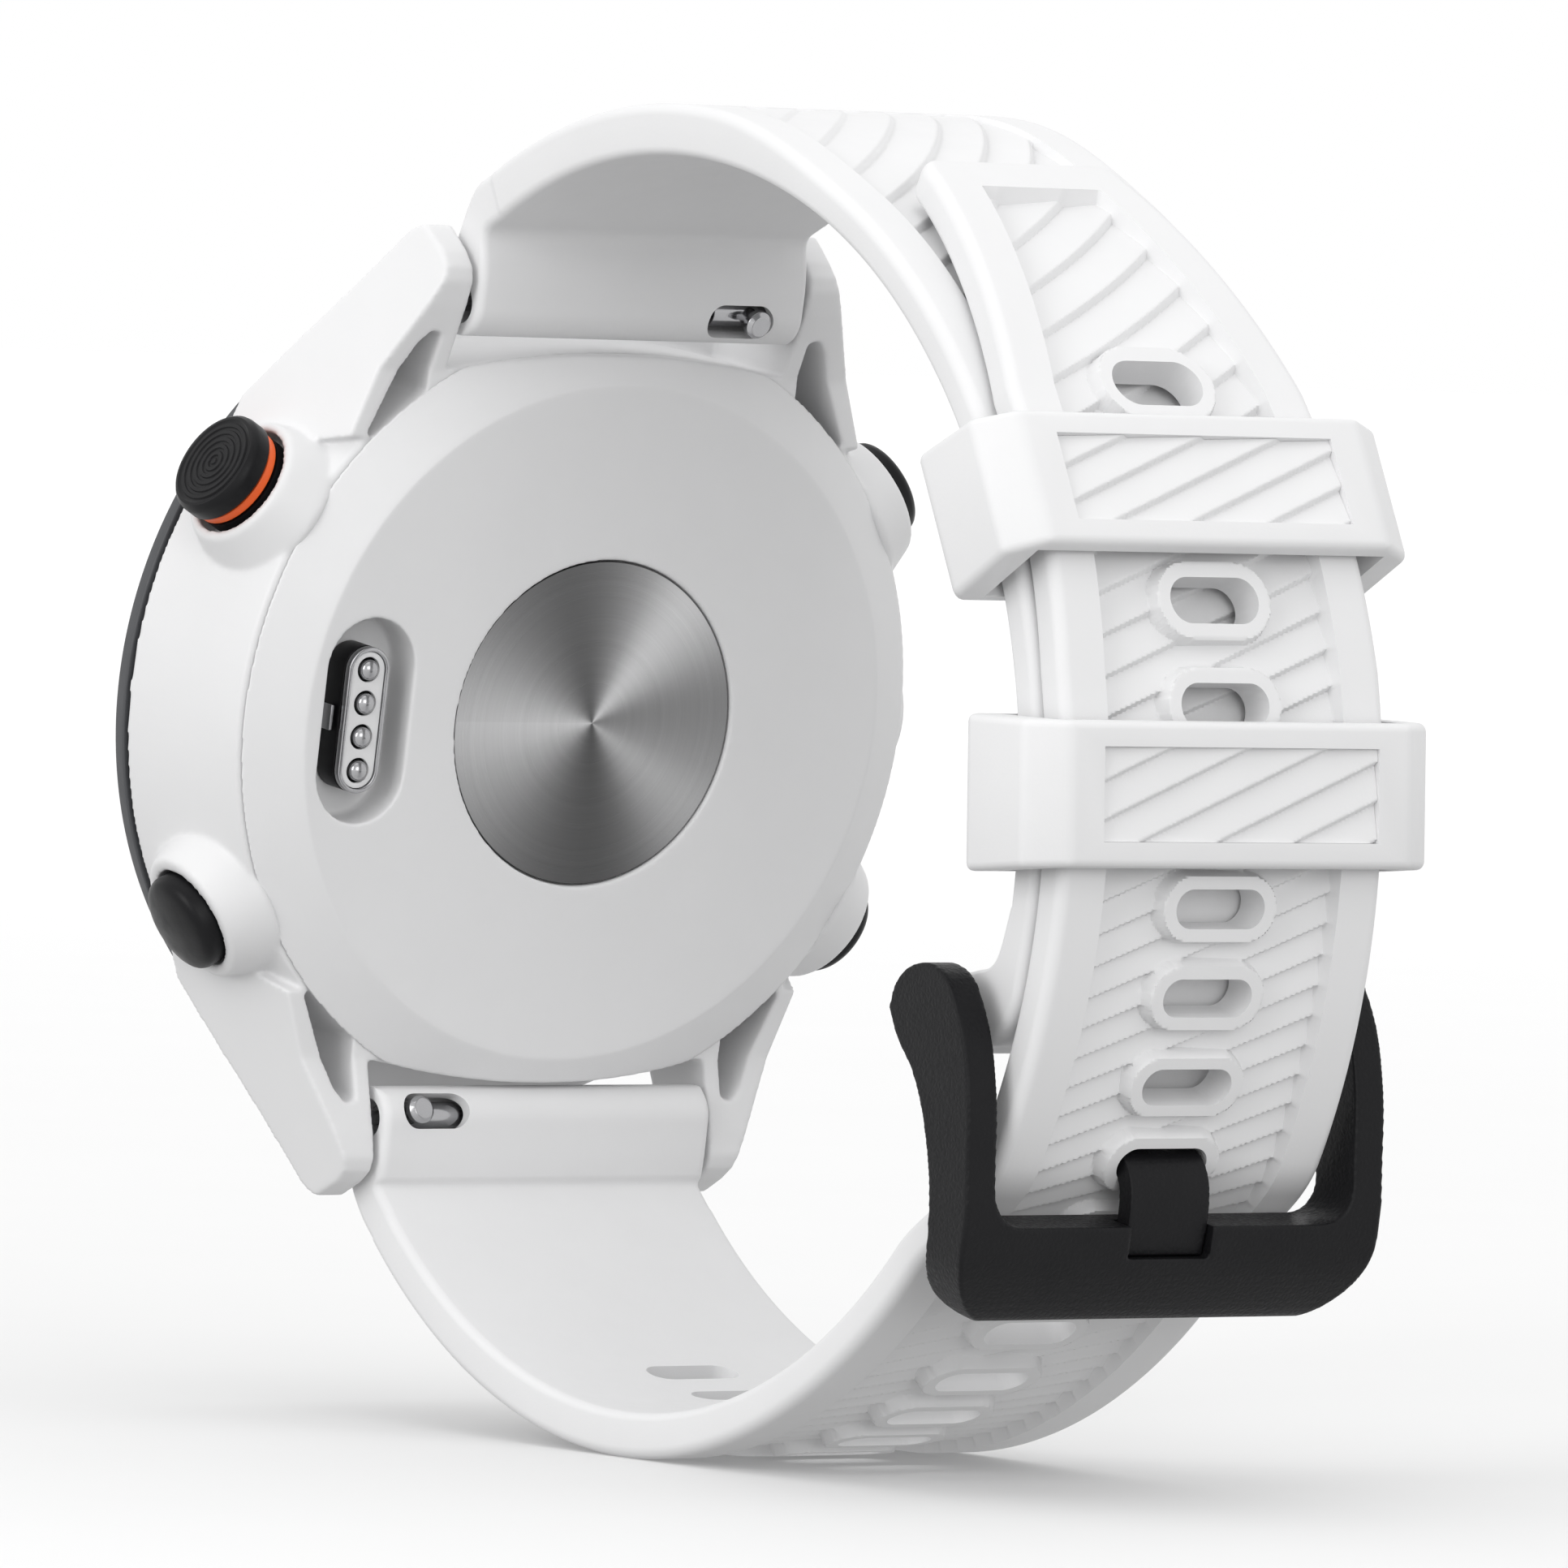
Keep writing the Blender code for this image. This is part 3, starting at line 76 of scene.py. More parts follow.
# Port, buttons and plate
PORT_Y = -13.70
PORT_FLOOR_X = -2.10
CONTACT_PITCH = 1.70
CONTACT_R = 0.52
PLATE_R = 8.23
PLATE_SECTION = [(0, -0.25), (PLATE_R, -0.25), (PLATE_R, 0.05), (0, 0.05)]
BUTTON_X = -5.20
BUTTONS = {
    "start": (150.0, 2.77, 24.10, 0.0),
    "back": (-150.0, 2.55, 23.40, 0.0),
    "light": (30.0, 2.60, 23.55, 0.0),
    "up": (0.0, 2.00, 22.95, 1.60),
    "down": (-30.0, 2.60, 23.55, 0.0),
}
CAP_FLOOR_AT = 21.55
STEM_R = 0.80
# Share of a plain cap's radius and drop below its face
CAP_DOME = [(0, 0), (0.30, 0.03), (0.55, 0.10), (0.75, 0.20), (0.88, 0.32), (0.96, 0.50), (1, 0.75)]
ACCENT_SECTION = [(2.05, 22.35), (2.62, 22.35), (2.62, 22.82), (2.05, 22.82), (2.05, 22.35)]

# Bezel and lens
BEZEL_SECTION = [(19.20, -9.20), (21.95, -9.20), (21.95, -9.90), (20.90, -10.95), (19.20, -10.95),
                 (19.20, -9.20)]
LENS_SECTION = [(0, -9.75), (18.95, -9.75), (18.95, -10.70), (18.70, -10.95), (0, -10.95)]

# Strap loop
LOOP_X = 19.00
LOOP_Z = 0.50
STRAP_INNER_R = 30.70
STRAP_OUTER_R = 32.55
TAIL_INNER_R = 32.77
TAIL_OUTER_R = 34.70
STRAP_HALF = 9.95
SHORT_HALF = 9.50
TAIL_HALF = 9.50
TAIL_END_ANGLE = 71.5
LUG_END_ANGLE = 128.0
SLOT_ANGLES = (44.5, 34.9, 25.6, 17.2, 9.2, 1.2, -6.0, -13.5, -20.5, -28.1, -35.7, -43.3, -51.5, -59.2, -66.7,
               -74.3, -81.9, -89.5, -97.1)
SLOT_HALF_WIDTH = 2.60
SLOT_HALF_HEIGHT = 0.95
RIM_HALF_WIDTH = 3.35
RIM_HALF_HEIGHT = 1.62
BORDER = 2.65
FLOOR_DEPTH = 0.95
RIB_HEIGHT = 0.42
EDGE_ROUND = 0.60
PATTERN_GROWTH = 0.0078
# Angles given to stretches of a strap that lie beyond its pattern
PLAIN_FAR_BELOW = -200.0
PLAIN_BELOW = -10.0
PLAIN_ABOVE = 200.0
# Inner and outer side of the short strap's end about the buckle's pin, and the lip under the tongue
PIN_END_INNER = [(48.95, -2.20), (47.40, -3.02), (45.95, -3.55), (45.32, -4.70), (45.60, -6.05),
                 (46.40, -6.80)]
PIN_END_OUTER = [(51.35, -2.60), (51.00, -4.40), (49.90, -6.00), (48.70, -6.45), (48.00, -6.90),
                 (47.30, -7.02)]
TONGUE_COVER = [(49.25, -5.2), (50.30, -4.8), (50.10, -9.0), (49.95, -9.25), (49.50, -9.25), (49.30, -8.6)]

# Spring bars: side of Z and distance from the middle
BARS = {"top": (1, 20.90), "bottom": (-1, 20.45)}
BAR_X = -1.20
BAR_R = 0.78
BAR_TIP_R = 0.36
KNUCKLE_R = 1.60
KNOB_Y = {"top": 7.05, "bottom": 7.85}
KNOB_LEAN = {"top": 14.0, "bottom": 26.0}
KNOB_R = 0.72
KNOB_RISE = 1.95

# Keepers
KEEPER_ANGLES = {"keeper_upper": 34.9, "keeper_lower": 10.2}
KEEPER_HALF = 3.75
KEEPER_INNER_R = 29.5
KEEPER_SECTION = [(-11.95, 30.1), (-11.35, KEEPER_INNER_R), (11.35, KEEPER_INNER_R), (11.95, 30.1),
                  (11.95, 34.6), (10.0, 35.9), (-10.0, 35.9), (-11.95, 34.6)]

# Buckle
PIN_X = 47.30
PIN_Z = -5.00
PIN_BORE_R = 0.95
FRAME_HALF = 12.30
TANG_HALF = 2.32
TANG_HALF_THICK = 0.52
FRAME_SIDE = [(44.95, -5.3), (45.2, -4.1), (46.1, -3.1), (47.5, -2.6), (48.9, -2.8), (49.9, -3.6),
              (51.2, -5.5), (52.2, -8.3), (52.7, -11.2), (53.1, -14.2), (52.7, -16.8), (51.1, -19.2),
              (49.5, -18.3), (50.1, -15.4), (49.7, -12.5), (48.6, -9.7), (47.4, -7.9), (45.9, -6.6)]
TANG_PATH = [(47.75, -6.20), (48.10, -7.80), (48.45, -9.50), (49.10, -10.70), (50.40, -11.25),
             (51.35, -11.75), (51.90, -12.55), (52.08, -13.60), (52.05, -14.70), (51.90, -15.80)]

# Camera: direction and roll in degrees in the watch axes, place in mm along its own axes
CAMERA_AZIMUTH = 54.479
CAMERA_HEIGHT = 8.724
CAMERA_ROLL = 6.679
CAMERA_RIGHT = 9.662
CAMERA_UP = -3.062
CAMERA_BACK = 774.26
FOCAL_LENGTH = 354.2
SENSOR_WIDTH = 36.0

# Stage and light, in metres and watts
FLOOR_RADIUS = 12.0
# Painted glow of the floor: emission strength, and the distances in metres over which it rises
FLOOR_GLOW = 0.24
FLOOR_GLOW_FROM = 0.05
FLOOR_GLOW_TO = 1.2
WORLD_BELOW = 0.44
HORIZON = (-0.15, -0.01)
LIGHT_TARGET = (0, 0, 0.033)
LIGHTS = {
    "left": ((0.20, -0.95, 0.36), 0.6, 3.3),
    "front": ((0.95, -0.25, 0.25), 0.5, 1.6),
    "above": ((0.10, -0.10, 0.95), 0.6, 0.6),
}


# ---- frame

def case_frame():
    """World matrix of the watch axes, in metres, from the record's mount on the back plate."""
    mount = next(m for m in frame["record"]["mounts"] if m["name"] == "back_plate_face")
    x = Vector(mount["axis"]).normalized()
    y = Vector((0, 1, 0))
    matrix = Matrix((x, y, x.cross(y))).transposed().to_4x4()
    matrix.translation = Vector(mount["pos_m"]) - 0.05 * MM * x
    return matrix


CASE = case_frame()


# ---- materials

def new_material(name, **sockets):
    """Principled material with the given socket values; returns (material, node tree, shader)."""
    made = bpy.data.materials.new(name)
    made.use_nodes = True
    shader = made.node_tree.nodes["Principled BSDF"]
    for socket, value in sockets.items():
        shader.inputs[socket.replace("_", " ")].default_value = value
    return made, made.node_tree, shader


def object_space(tree):
    """Object coordinates, in metres."""
    return tree.nodes.new("ShaderNodeTexCoord").outputs["Object"]


def vector_length(tree, source):
    """Length of a vector."""
    node = tree.nodes.new("ShaderNodeVectorMath")
    node.operation = "LENGTH"
    tree.links.new(source, node.inputs[0])
    return node.outputs["Value"]


def noise(tree, source, scale, detail=3.0, rough=0.55):
    """Noise texture of an object-space vector; scale is in features per metre."""
    node = tree.nodes.new("ShaderNodeTexNoise")
    node.inputs["Scale"].default_value = scale
    node.inputs["Detail"].default_value = detail
    node.inputs["Roughness"].default_value = rough
    tree.links.new(source, node.inputs["Vector"])
    return node.outputs["Fac"]


def remap(tree, source, low, high, from_low=0.3, from_high=0.7):
    """Map Range node."""
    node = tree.nodes.new("ShaderNodeMapRange")
    node.inputs["From Min"].default_value = from_low
    node.inputs["From Max"].default_value = from_high
    node.inputs["To Min"].default_value = low
    node.inputs["To Max"].default_value = high
    tree.links.new(source, node.inputs["Value"])
    return node.outputs["Result"]


def mixed(tree, factor, first, second):
    """Colour between two colours."""
    node = tree.nodes.new("ShaderNodeMix")
    node.data_type = "RGBA"
    node.inputs["A"].default_value = (*first, 1)
    node.inputs["B"].default_value = (*second, 1)
    tree.links.new(factor, node.inputs["Factor"])
    return node.outputs["Result"]


def bumped(tree, height, distance, strength, shader, before=None):
    """Bump node into the shader's normal; distance is in metres."""
    node = tree.nodes.new("ShaderNodeBump")
    node.inputs["Distance"].default_value = distance
    node.inputs["Strength"].default_value = strength
    tree.links.new(height, node.inputs["Height"])
    if before:
        tree.links.new(before, node.inputs["Normal"])
    tree.links.new(node.outputs["Normal"], shader.inputs["Normal"])
    return node.outputs["Normal"]


def moulded(name, dark, light, rough, grain, relief, **sockets):
    """Moulded plastic or rubber: mottled colour, uneven gloss and a fine surface grain."""
    made, tree, shader = new_material(name, **sockets)
    where = object_space(tree)
    mottle = noise(tree, where, 260.0, 4.0)
    tree.links.new(mixed(tree, mottle, dark, light), shader.inputs["Base Color"])
    gloss = noise(tree, where, 900.0, 3.0)
    tree.links.new(remap(tree, gloss, *rough), shader.inputs["Roughness"])
    fine = noise(tree, where, grain, 3.0, 0.6)
    first = bumped(tree, fine, relief, 0.35, shader)
    wave = noise(tree, where, 450.0, 2.0)
    bumped(tree, wave, relief * 2, 0.08, shader, first)
    return made


def leather_grain(name, dark, light, rough):
    """Black moulded plastic with a pebbled leather-like grain."""
    made, tree, shader = new_material(name, Specular_IOR_Level=0.16)
    where = object_space(tree)
    cells = tree.nodes.new("ShaderNodeTexVoronoi")
    cells.feature = "DISTANCE_TO_EDGE"
    cells.inputs["Scale"].default_value = 3100.0
    tree.links.new(where, cells.inputs["Vector"])
    edge = remap(tree, cells.outputs["Distance"], 0.0, 1.0, 0.0, 0.35)
    fine = noise(tree, where, 5200.0, 3.0, 0.6)
    broad = noise(tree, where, 420.0, 3.0)
    tree.links.new(mixed(tree, broad, dark, light), shader.inputs["Base Color"])
    tree.links.new(remap(tree, fine, *rough), shader.inputs["Roughness"])
    first = bumped(tree, edge, 0.00003, 0.30, shader)
    bumped(tree, fine, 0.00003, 0.35, shader, first)
    return made


def brushed_disc_painted_fan(name):
    """Steel with fine concentric brushing, and a painted highlight and shade: bright and dark sectors by
    angle, painted into the base colour, stand in for the fan of light that such brushing shows.
    """
    made, tree, shader = new_material(name, Metallic=1.0, Anisotropic=0.75)
    split = tree.nodes.new("ShaderNodeSeparateXYZ")
    tree.links.new(object_space(tree), split.inputs["Vector"])
    flat = tree.nodes.new("ShaderNodeCombineXYZ")
    tree.links.new(split.outputs["Y"], flat.inputs["X"])
    tree.links.new(split.outputs["Z"], flat.inputs["Y"])
    rings = tree.nodes.new("ShaderNodeCombineXYZ")
    tree.links.new(vector_length(tree, flat.outputs["Vector"]), rings.inputs["X"])
    fine = noise(tree, rings.outputs["Vector"], 14000.0, 4.0, 0.7)
    coarse = noise(tree, rings.outputs["Vector"], 2600.0, 3.0, 0.6)
    turn = tree.nodes.new("ShaderNodeMath")
    turn.operation = "ARCTAN2"
    tree.links.new(split.outputs["Z"], turn.inputs[0])
    tree.links.new(split.outputs["Y"], turn.inputs[1])
    share = remap(tree, turn.outputs["Value"], 0.0, 1.0, -math.pi, math.pi)
    # Painted highlight and shade: a fixed fan of bright and dark sectors by angle about the axis
    painted_fan = tree.nodes.new("ShaderNodeValToRGB")
    painted_fan_stops = [(0.0, 0.62), (0.06, 0.50), (0.15, 0.20), (0.25, 0.085), (0.33, 0.13), (0.40, 0.52),
             (0.455, 0.30), (0.53, 0.20), (0.58, 0.34), (0.645, 0.74), (0.70, 0.30), (0.77, 0.115),
             (0.84, 0.15), (0.92, 0.30), (1.0, 0.62)]
    ramp = painted_fan.color_ramp
    ramp.interpolation = "B_SPLINE"
    while len(ramp.elements) < len(painted_fan_stops):
        ramp.elements.new(0.5)
    for element, (place, value) in zip(ramp.elements, painted_fan_stops):
        element.position = place
        element.color = (value, value, value * 1.01, 1)
    tree.links.new(share, painted_fan.inputs["Fac"])
    # The painted fan of light times the concentric brushing tone gives the base colour
    scale = tree.nodes.new("ShaderNodeMix")
    scale.data_type = "RGBA"
    scale.blend_type = "MULTIPLY"
    scale.inputs["Factor"].default_value = 1.0
    tree.links.new(painted_fan.outputs["Color"], scale.inputs["A"])
    tree.links.new(mixed(tree, coarse, (0.78, 0.78, 0.78), (1.0, 1.0, 1.0)), scale.inputs["B"])
    tree.links.new(scale.outputs["Result"], shader.inputs["Base Color"])
    tree.links.new(remap(tree, fine, 0.24, 0.40), shader.inputs["Roughness"])
    tangent = tree.nodes.new("ShaderNodeTangent")
    tangent.direction_type = "RADIAL"
    tangent.axis = "X"
    tree.links.new(tangent.outputs["Tangent"], shader.inputs["Tangent"])
    bumped(tree, fine, 0.000004, 0.35, shader)
    return made


def metal(name, dark, light, rough, grain, **sockets):
    """Metal with faint stains and fine scratches."""
    made, tree, shader = new_material(name, Metallic=1.0, **sockets)
    where = object_space(tree)
    stain = noise(tree, where, 700.0, 4.0)
    tree.links.new(mixed(tree, stain, dark, light), shader.inputs["Base Color"])
    fine = noise(tree, where, grain, 4.0, 0.7)
    tree.links.new(remap(tree, fine, *rough), shader.inputs["Roughness"])
    bumped(tree, fine, 0.000004, 0.3, shader)
    return made


def printed_board(name):
    """Green solder mask with copper tracks under it."""
    made, tree, shader = new_material(name, Coat_Weight=0.3)
    where = object_space(tree)
    tracks = tree.nodes.new("ShaderNodeTexBrick")
    tracks.inputs["Scale"].default_value = 420.0
    tracks.inputs["Mortar Size"].default_value = 0.035
    tracks.inputs["Color1"].default_value = (0.010, 0.105, 0.045, 1)
    tracks.inputs["Color2"].default_value = (0.014, 0.150, 0.060, 1)
    tracks.inputs["Mortar"].default_value = (0.055, 0.260, 0.110, 1)
    turned_space = tree.nodes.new("ShaderNodeMapping")
    turned_space.inputs["Rotation"].default_value = (0, math.pi / 2, 0)
    tree.links.new(where, turned_space.inputs["Vector"])
    tree.links.new(turned_space.outputs["Vector"], tracks.inputs["Vector"])
    tree.links.new(tracks.outputs["Color"], shader.inputs["Base Color"])
    fine = noise(tree, where, 3000.0)
    tree.links.new(remap(tree, fine, 0.30, 0.48), shader.inputs["Roughness"])
    bumped(tree, tracks.outputs["Fac"], 0.00002, 0.4, shader)
    return made


def tinted_glass(name):
    """Dark cover glass with a smooth, faintly smeared surface."""
    made, tree, shader = new_material(name, Coat_Weight=1.0, Coat_Roughness=0.03, IOR=1.5)
    where = object_space(tree)
    smear = noise(tree, where, 120.0, 4.0)
    tree.links.new(mixed(tree, smear, (0.010, 0.011, 0.013), (0.016, 0.018, 0.020)),
              shader.inputs["Base Color"])
    tree.links.new(remap(tree, smear, 0.05, 0.12), shader.inputs["Roughness"])
    return made


LOOKS = {
    "white_polymer": moulded("white_polymer", (0.735, 0.735, 0.740), (0.765, 0.765, 0.770), (0.36, 0.48),
                             7000.0, 0.000012, Specular_IOR_Level=0.45),
    "white_silicone": moulded("white_silicone", (0.745, 0.745, 0.750), (0.775, 0.775, 0.780), (0.46, 0.60),
                              5200.0, 0.000016, Specular_IOR_Level=0.38, Sheen_Weight=0.05),
    "black_polymer": leather_grain("black_polymer", (0.005, 0.005, 0.006), (0.009, 0.009, 0.010),
                                   (0.34, 0.50)),
    "button_black": moulded("button_black", (0.005, 0.005, 0.006), (0.009, 0.009, 0.010), (0.30, 0.44),
                            6500.0, 0.000012, Specular_IOR_Level=0.16),
    "bezel_grey": moulded("bezel_grey", (0.045, 0.047, 0.052), (0.065, 0.067, 0.072), (0.38, 0.52),
                          6500.0, 0.000012),
    "orange_polymer": moulded("orange_polymer", (0.86, 0.110, 0.012), (0.92, 0.140, 0.020), (0.35, 0.50),
                              6000.0, 0.000012),
    "brushed_steel": brushed_disc_painted_fan("brushed_steel"),
    "polished_steel": metal("polished_steel", (0.34, 0.34, 0.35), (0.46, 0.46, 0.47), (0.10, 0.24), 9000.0),
    "glass": tinted_glass("glass"),
    "display": moulded("display", (0.030, 0.040, 0.036), (0.045, 0.060, 0.054), (0.20, 0.30), 9000.0,
                       0.000004),
    "circuit_board": printed_board("circuit_board"),
    "battery_foil": metal("battery_foil", (0.50, 0.51, 0.53), (0.62, 0.63, 0.65), (0.28, 0.46), 5000.0),
    "gold": metal("gold", (0.62, 0.60, 0.56), (0.74, 0.72, 0.67), (0.12, 0.24), 9000.0),
    "nitrile": moulded("nitrile", (0.024, 0.024, 0.024), (0.036, 0.036, 0.036), (0.66, 0.84), 4000.0,
                       0.000020),
}


# ---- shapes

def axis_frame(origin, axis, side):
    """Matrix whose local X, Y and Z are side, axis x side and axis, placed at origin."""
    z = Vector(axis).normalized()
    x = Vector(side).normalized()
    return Matrix.Translation(Vector(origin)) @ Matrix((x, z.cross(x), z)).transposed().to_4x4()


CASE_AXIS = axis_frame((0, 0, 0), (1, 0, 0), (0, 1, 0))
PORT = axis_frame((0, PORT_Y, 0), (1, 0, 0), (0, 1, 0))
ALONG_Y = axis_frame((0, 0, 0), (0, -1, 0), (1, 0, 0))


def turned(profile, place, sides=ROUND_SIDES):
    """Solid of revolution about local Z; profile is a list of (radius, height)."""
    bm = bmesh.new()
    rings = []
    for radius, height in profile:
        if radius < 1e-6:
            rings.append([bm.verts.new(place @ Vector((0, 0, height)))])
            continue
        turns = [2 * math.pi * (k + 0.5) / sides for k in range(sides)]
        rings.append([bm.verts.new(place @ Vector((radius * math.cos(t), radius * math.sin(t), height)))
                      for t in turns])
    closed = len(rings[0]) > 1 and len(rings[-1]) > 1
    for i in range(len(rings) if closed else len(rings) - 1):
        a = rings[i]
        b = rings[(i + 1) % len(rings)]
        for k in range(sides):
            n = (k + 1) % sides
            if len(a) == 1:
                bm.faces.new((a[0], b[n], b[k]))
            elif len(b) == 1:
                bm.faces.new((a[k], a[n], b[0]))
            else:
                bm.faces.new((a[k], a[n], b[n], b[k]))
    return bm


def rounded_profile(profile, radius, steps=5):
    """Profile of (r, h) points with its inner corners rounded; the two end points stay."""
    points = [profile[0]]
    for before, here, after in zip(profile, profile[1:], profile[2:]):
        corner = Vector(here)
        back = Vector(before) - corner
        ahead = Vector(after) - corner
        half = back.angle(ahead) / 2
        reach = min(radius / math.tan(half), back.length * 0.48, ahead.length * 0.48)
        start = corner + back.normalized() * reach
        stop = corner + ahead.normalized() * reach
        for k in range(steps + 1):
            t = k / steps
            points.append(tuple(start * (1 - t) ** 2 + corner * 2 * t * (1 - t) + stop * t * t))
    points.append(profile[-1])
    return points


def rod(radius, low, high):
    """Section of a plain rod."""
    return [(0, low), (radius, low), (radius, high), (0, high)]


def close_rows(bm, lower, upper):
    """Faces of a solid between two outlines with equal numbers of points."""
    bm.faces.new(lower)
    bm.faces.new(upper)
    for k in range(len(lower)):
        n = (k + 1) % len(lower)
        bm.faces.new((lower[k], lower[n], upper[n], upper[k]))


def prism(outline, place, low, high):
    """Straight extrusion of a closed outline in local XY between two heights."""
    bm = bmesh.new()
    lower = [bm.verts.new(place @ Vector((x, y, low))) for x, y in outline]
    upper = [bm.verts.new(place @ Vector((x, y, high))) for x, y in outline]
    close_rows(bm, lower, upper)
    return bm


def rectangle(centre, half):
    """Outline of a rectangle."""
    x, y = centre
    a, b = half
    return [(x - a, y - b), (x + a, y - b), (x + a, y + b), (x - a, y + b)]


def stadium(half_width, half_length, steps=16):
    """Slot outline with round ends, long along local Y."""
    points = []
    straight = half_length - half_width
    for end in (1, -1):
        for k in range(steps + 1):
            turn = math.pi * k / steps + (0 if end > 0 else math.pi)
            points.append((half_width * math.cos(turn), end * straight + half_width * math.sin(turn)))
    return points


def smooth_path(points, step):
    """Catmull-Rom curve through points, sampled about every step along it."""
    points = [np.array(point, float) for point in points]
    points = [2 * points[0] - points[1]] + points + [2 * points[-1] - points[-2]]
    out = []
    for a, b, c, d in zip(points, points[1:], points[2:], points[3:]):
        count = max(1, int(round(np.linalg.norm(c - b) / step)))
        for k in range(count):
            t = k / count
            out.append(0.5 * (2 * b + (c - a) * t + (2 * a - 5 * b + 4 * c - d) * t * t
                              + (3 * b - a - 3 * c + d) * t ** 3))
    out.append(points[-2])
    return np.array(out)


def joined(parts):
    """One bmesh of several separate ones."""
    mesh = bpy.data.meshes.new("joined")
    whole = bmesh.new()
    for part in parts:
        part.to_mesh(mesh)
        part.free()
        whole.from_mesh(mesh)
    bpy.data.meshes.remove(mesh)
    return whole


def to_object(bm, name="work"):
    """Temporary object in millimetres."""
    bmesh.ops.recalc_face_normals(bm, faces=bm.faces)
    mesh = bpy.data.meshes.new(name)
    bm.to_mesh(mesh)
    bm.free()
    obj = bpy.data.objects.new(name, mesh)
    bpy.context.scene.collection.objects.link(obj)
    return obj


def settle(obj):
    """Apply the modifiers of a temporary object."""
    graph = bpy.context.evaluated_depsgraph_get()
    old = obj.data
    obj.data = bpy.data.meshes.new_from_object(obj.evaluated_get(graph))
    obj.modifiers.clear()
    bpy.data.meshes.remove(old)
    return obj


def boolean(obj, tools, operation, solver="EXACT"):
    """Join, cut or keep with tool shapes, which are used up."""
    for bm in tools:
        tool = to_object(bm, "tool")
        modifier = obj.modifiers.new("boolean", "BOOLEAN")
        modifier.operation = operation
        modifier.solver = solver
        modifier.object = tool
        settle(obj)
        mesh = tool.data
        bpy.data.objects.remove(tool)
        bpy.data.meshes.remove(mesh)
    return obj


def cut(obj, tools, solver="EXACT"):
    """Cut with tool shapes, which are used up."""
    boolean(obj, tools, "DIFFERENCE", solver)


def bevelled(obj, width, segments=3, angle=30.0):
    """Rounded edges."""
    modifier = obj.modifiers.new("bevel", "BEVEL")
    modifier.width = width
    modifier.segments = segments
    modifier.limit_method = "ANGLE"
    modifier.angle_limit = math.radians(angle)
    return settle(obj)


def remeshed(obj, voxel, rounds):
    """Even small quads, then smoothing that leaves soft moulded edges."""
    modifier = obj.modifiers.new("voxels", "REMESH")
    modifier.mode = "VOXEL"
    modifier.voxel_size = voxel
    modifier.use_smooth_shade = True
    settle(obj)
    modifier = obj.modifiers.new("smooth", "SMOOTH")
    modifier.factor = 0.5
    modifier.iterations = rounds
    return settle(obj)


def piece(name, source, look, replaced, body="watch", sharp=38.0, own_axes=False):
    """Finish a shape made in millimetres as a named piece that rides on a CAD body.

    Its mesh is in world axes, or with own_axes in the watch axes, which its object then carries.
    Its one material is its look.
    """
    obj = source if isinstance(source, bpy.types.Object) else to_object(source)
    obj.name = name
    obj.data.name = name
    scale = Matrix.Scale(MM, 4)
    obj.data.transform(scale if own_axes else CASE @ scale)
    obj.data.shade_smooth()
    obj.data.set_sharp_from_angle(angle=math.radians(sharp))
    obj.data.materials.clear()
    obj.data.materials.append(LOOKS[look])
    if own_axes:
        obj.matrix_world = CASE
    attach(obj, body)
    if replaced:
        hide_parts(*replaced)


# ---- case

def lug_outer_y(x, z):
    """Distance of a lug's outer side from the middle plane, which leans both ways."""
    return 20.08 - 0.36 * z - 0.30 * x


def lug(side, end):
    """One lug: side is the sign of Y and end the sign of Z."""
    bm = bmesh.new()
    inner = [bm.verts.new((x, side * (LUG_INNER_Y - 0.5), end * z)) for x, z in LUG_PROFILE]
    outer = [bm.verts.new((x, side * lug_outer_y(x, z), end * z)) for x, z in LUG_PROFILE]
    close_rows(bm, inner, outer)
    return bm


def wall_cutter(end, low_x, high_x):
    """Tool that trims the case between two lugs to a slightly crowned wall."""
    half = LUG_INNER_Y
    outline = [(-half, end * 30), (half, end * 30)]
    for k in range(25):
        y = half - 2 * half * k / 24
        outline.append((y, end * (18.60 - y * y / 95.6)))
    return prism(outline, CASE_AXIS, low_x, high_x)


def button_frame(angle, depth):
    """Local Z along a button's axis, away from the case, and local X along the watch's X."""
    turn = math.radians(angle)
    outward = Vector((0, math.cos(turn), math.sin(turn)))
    return axis_frame(Vector((BUTTON_X, 0, 0)) - depth * outward, outward, (1, 0, 0))


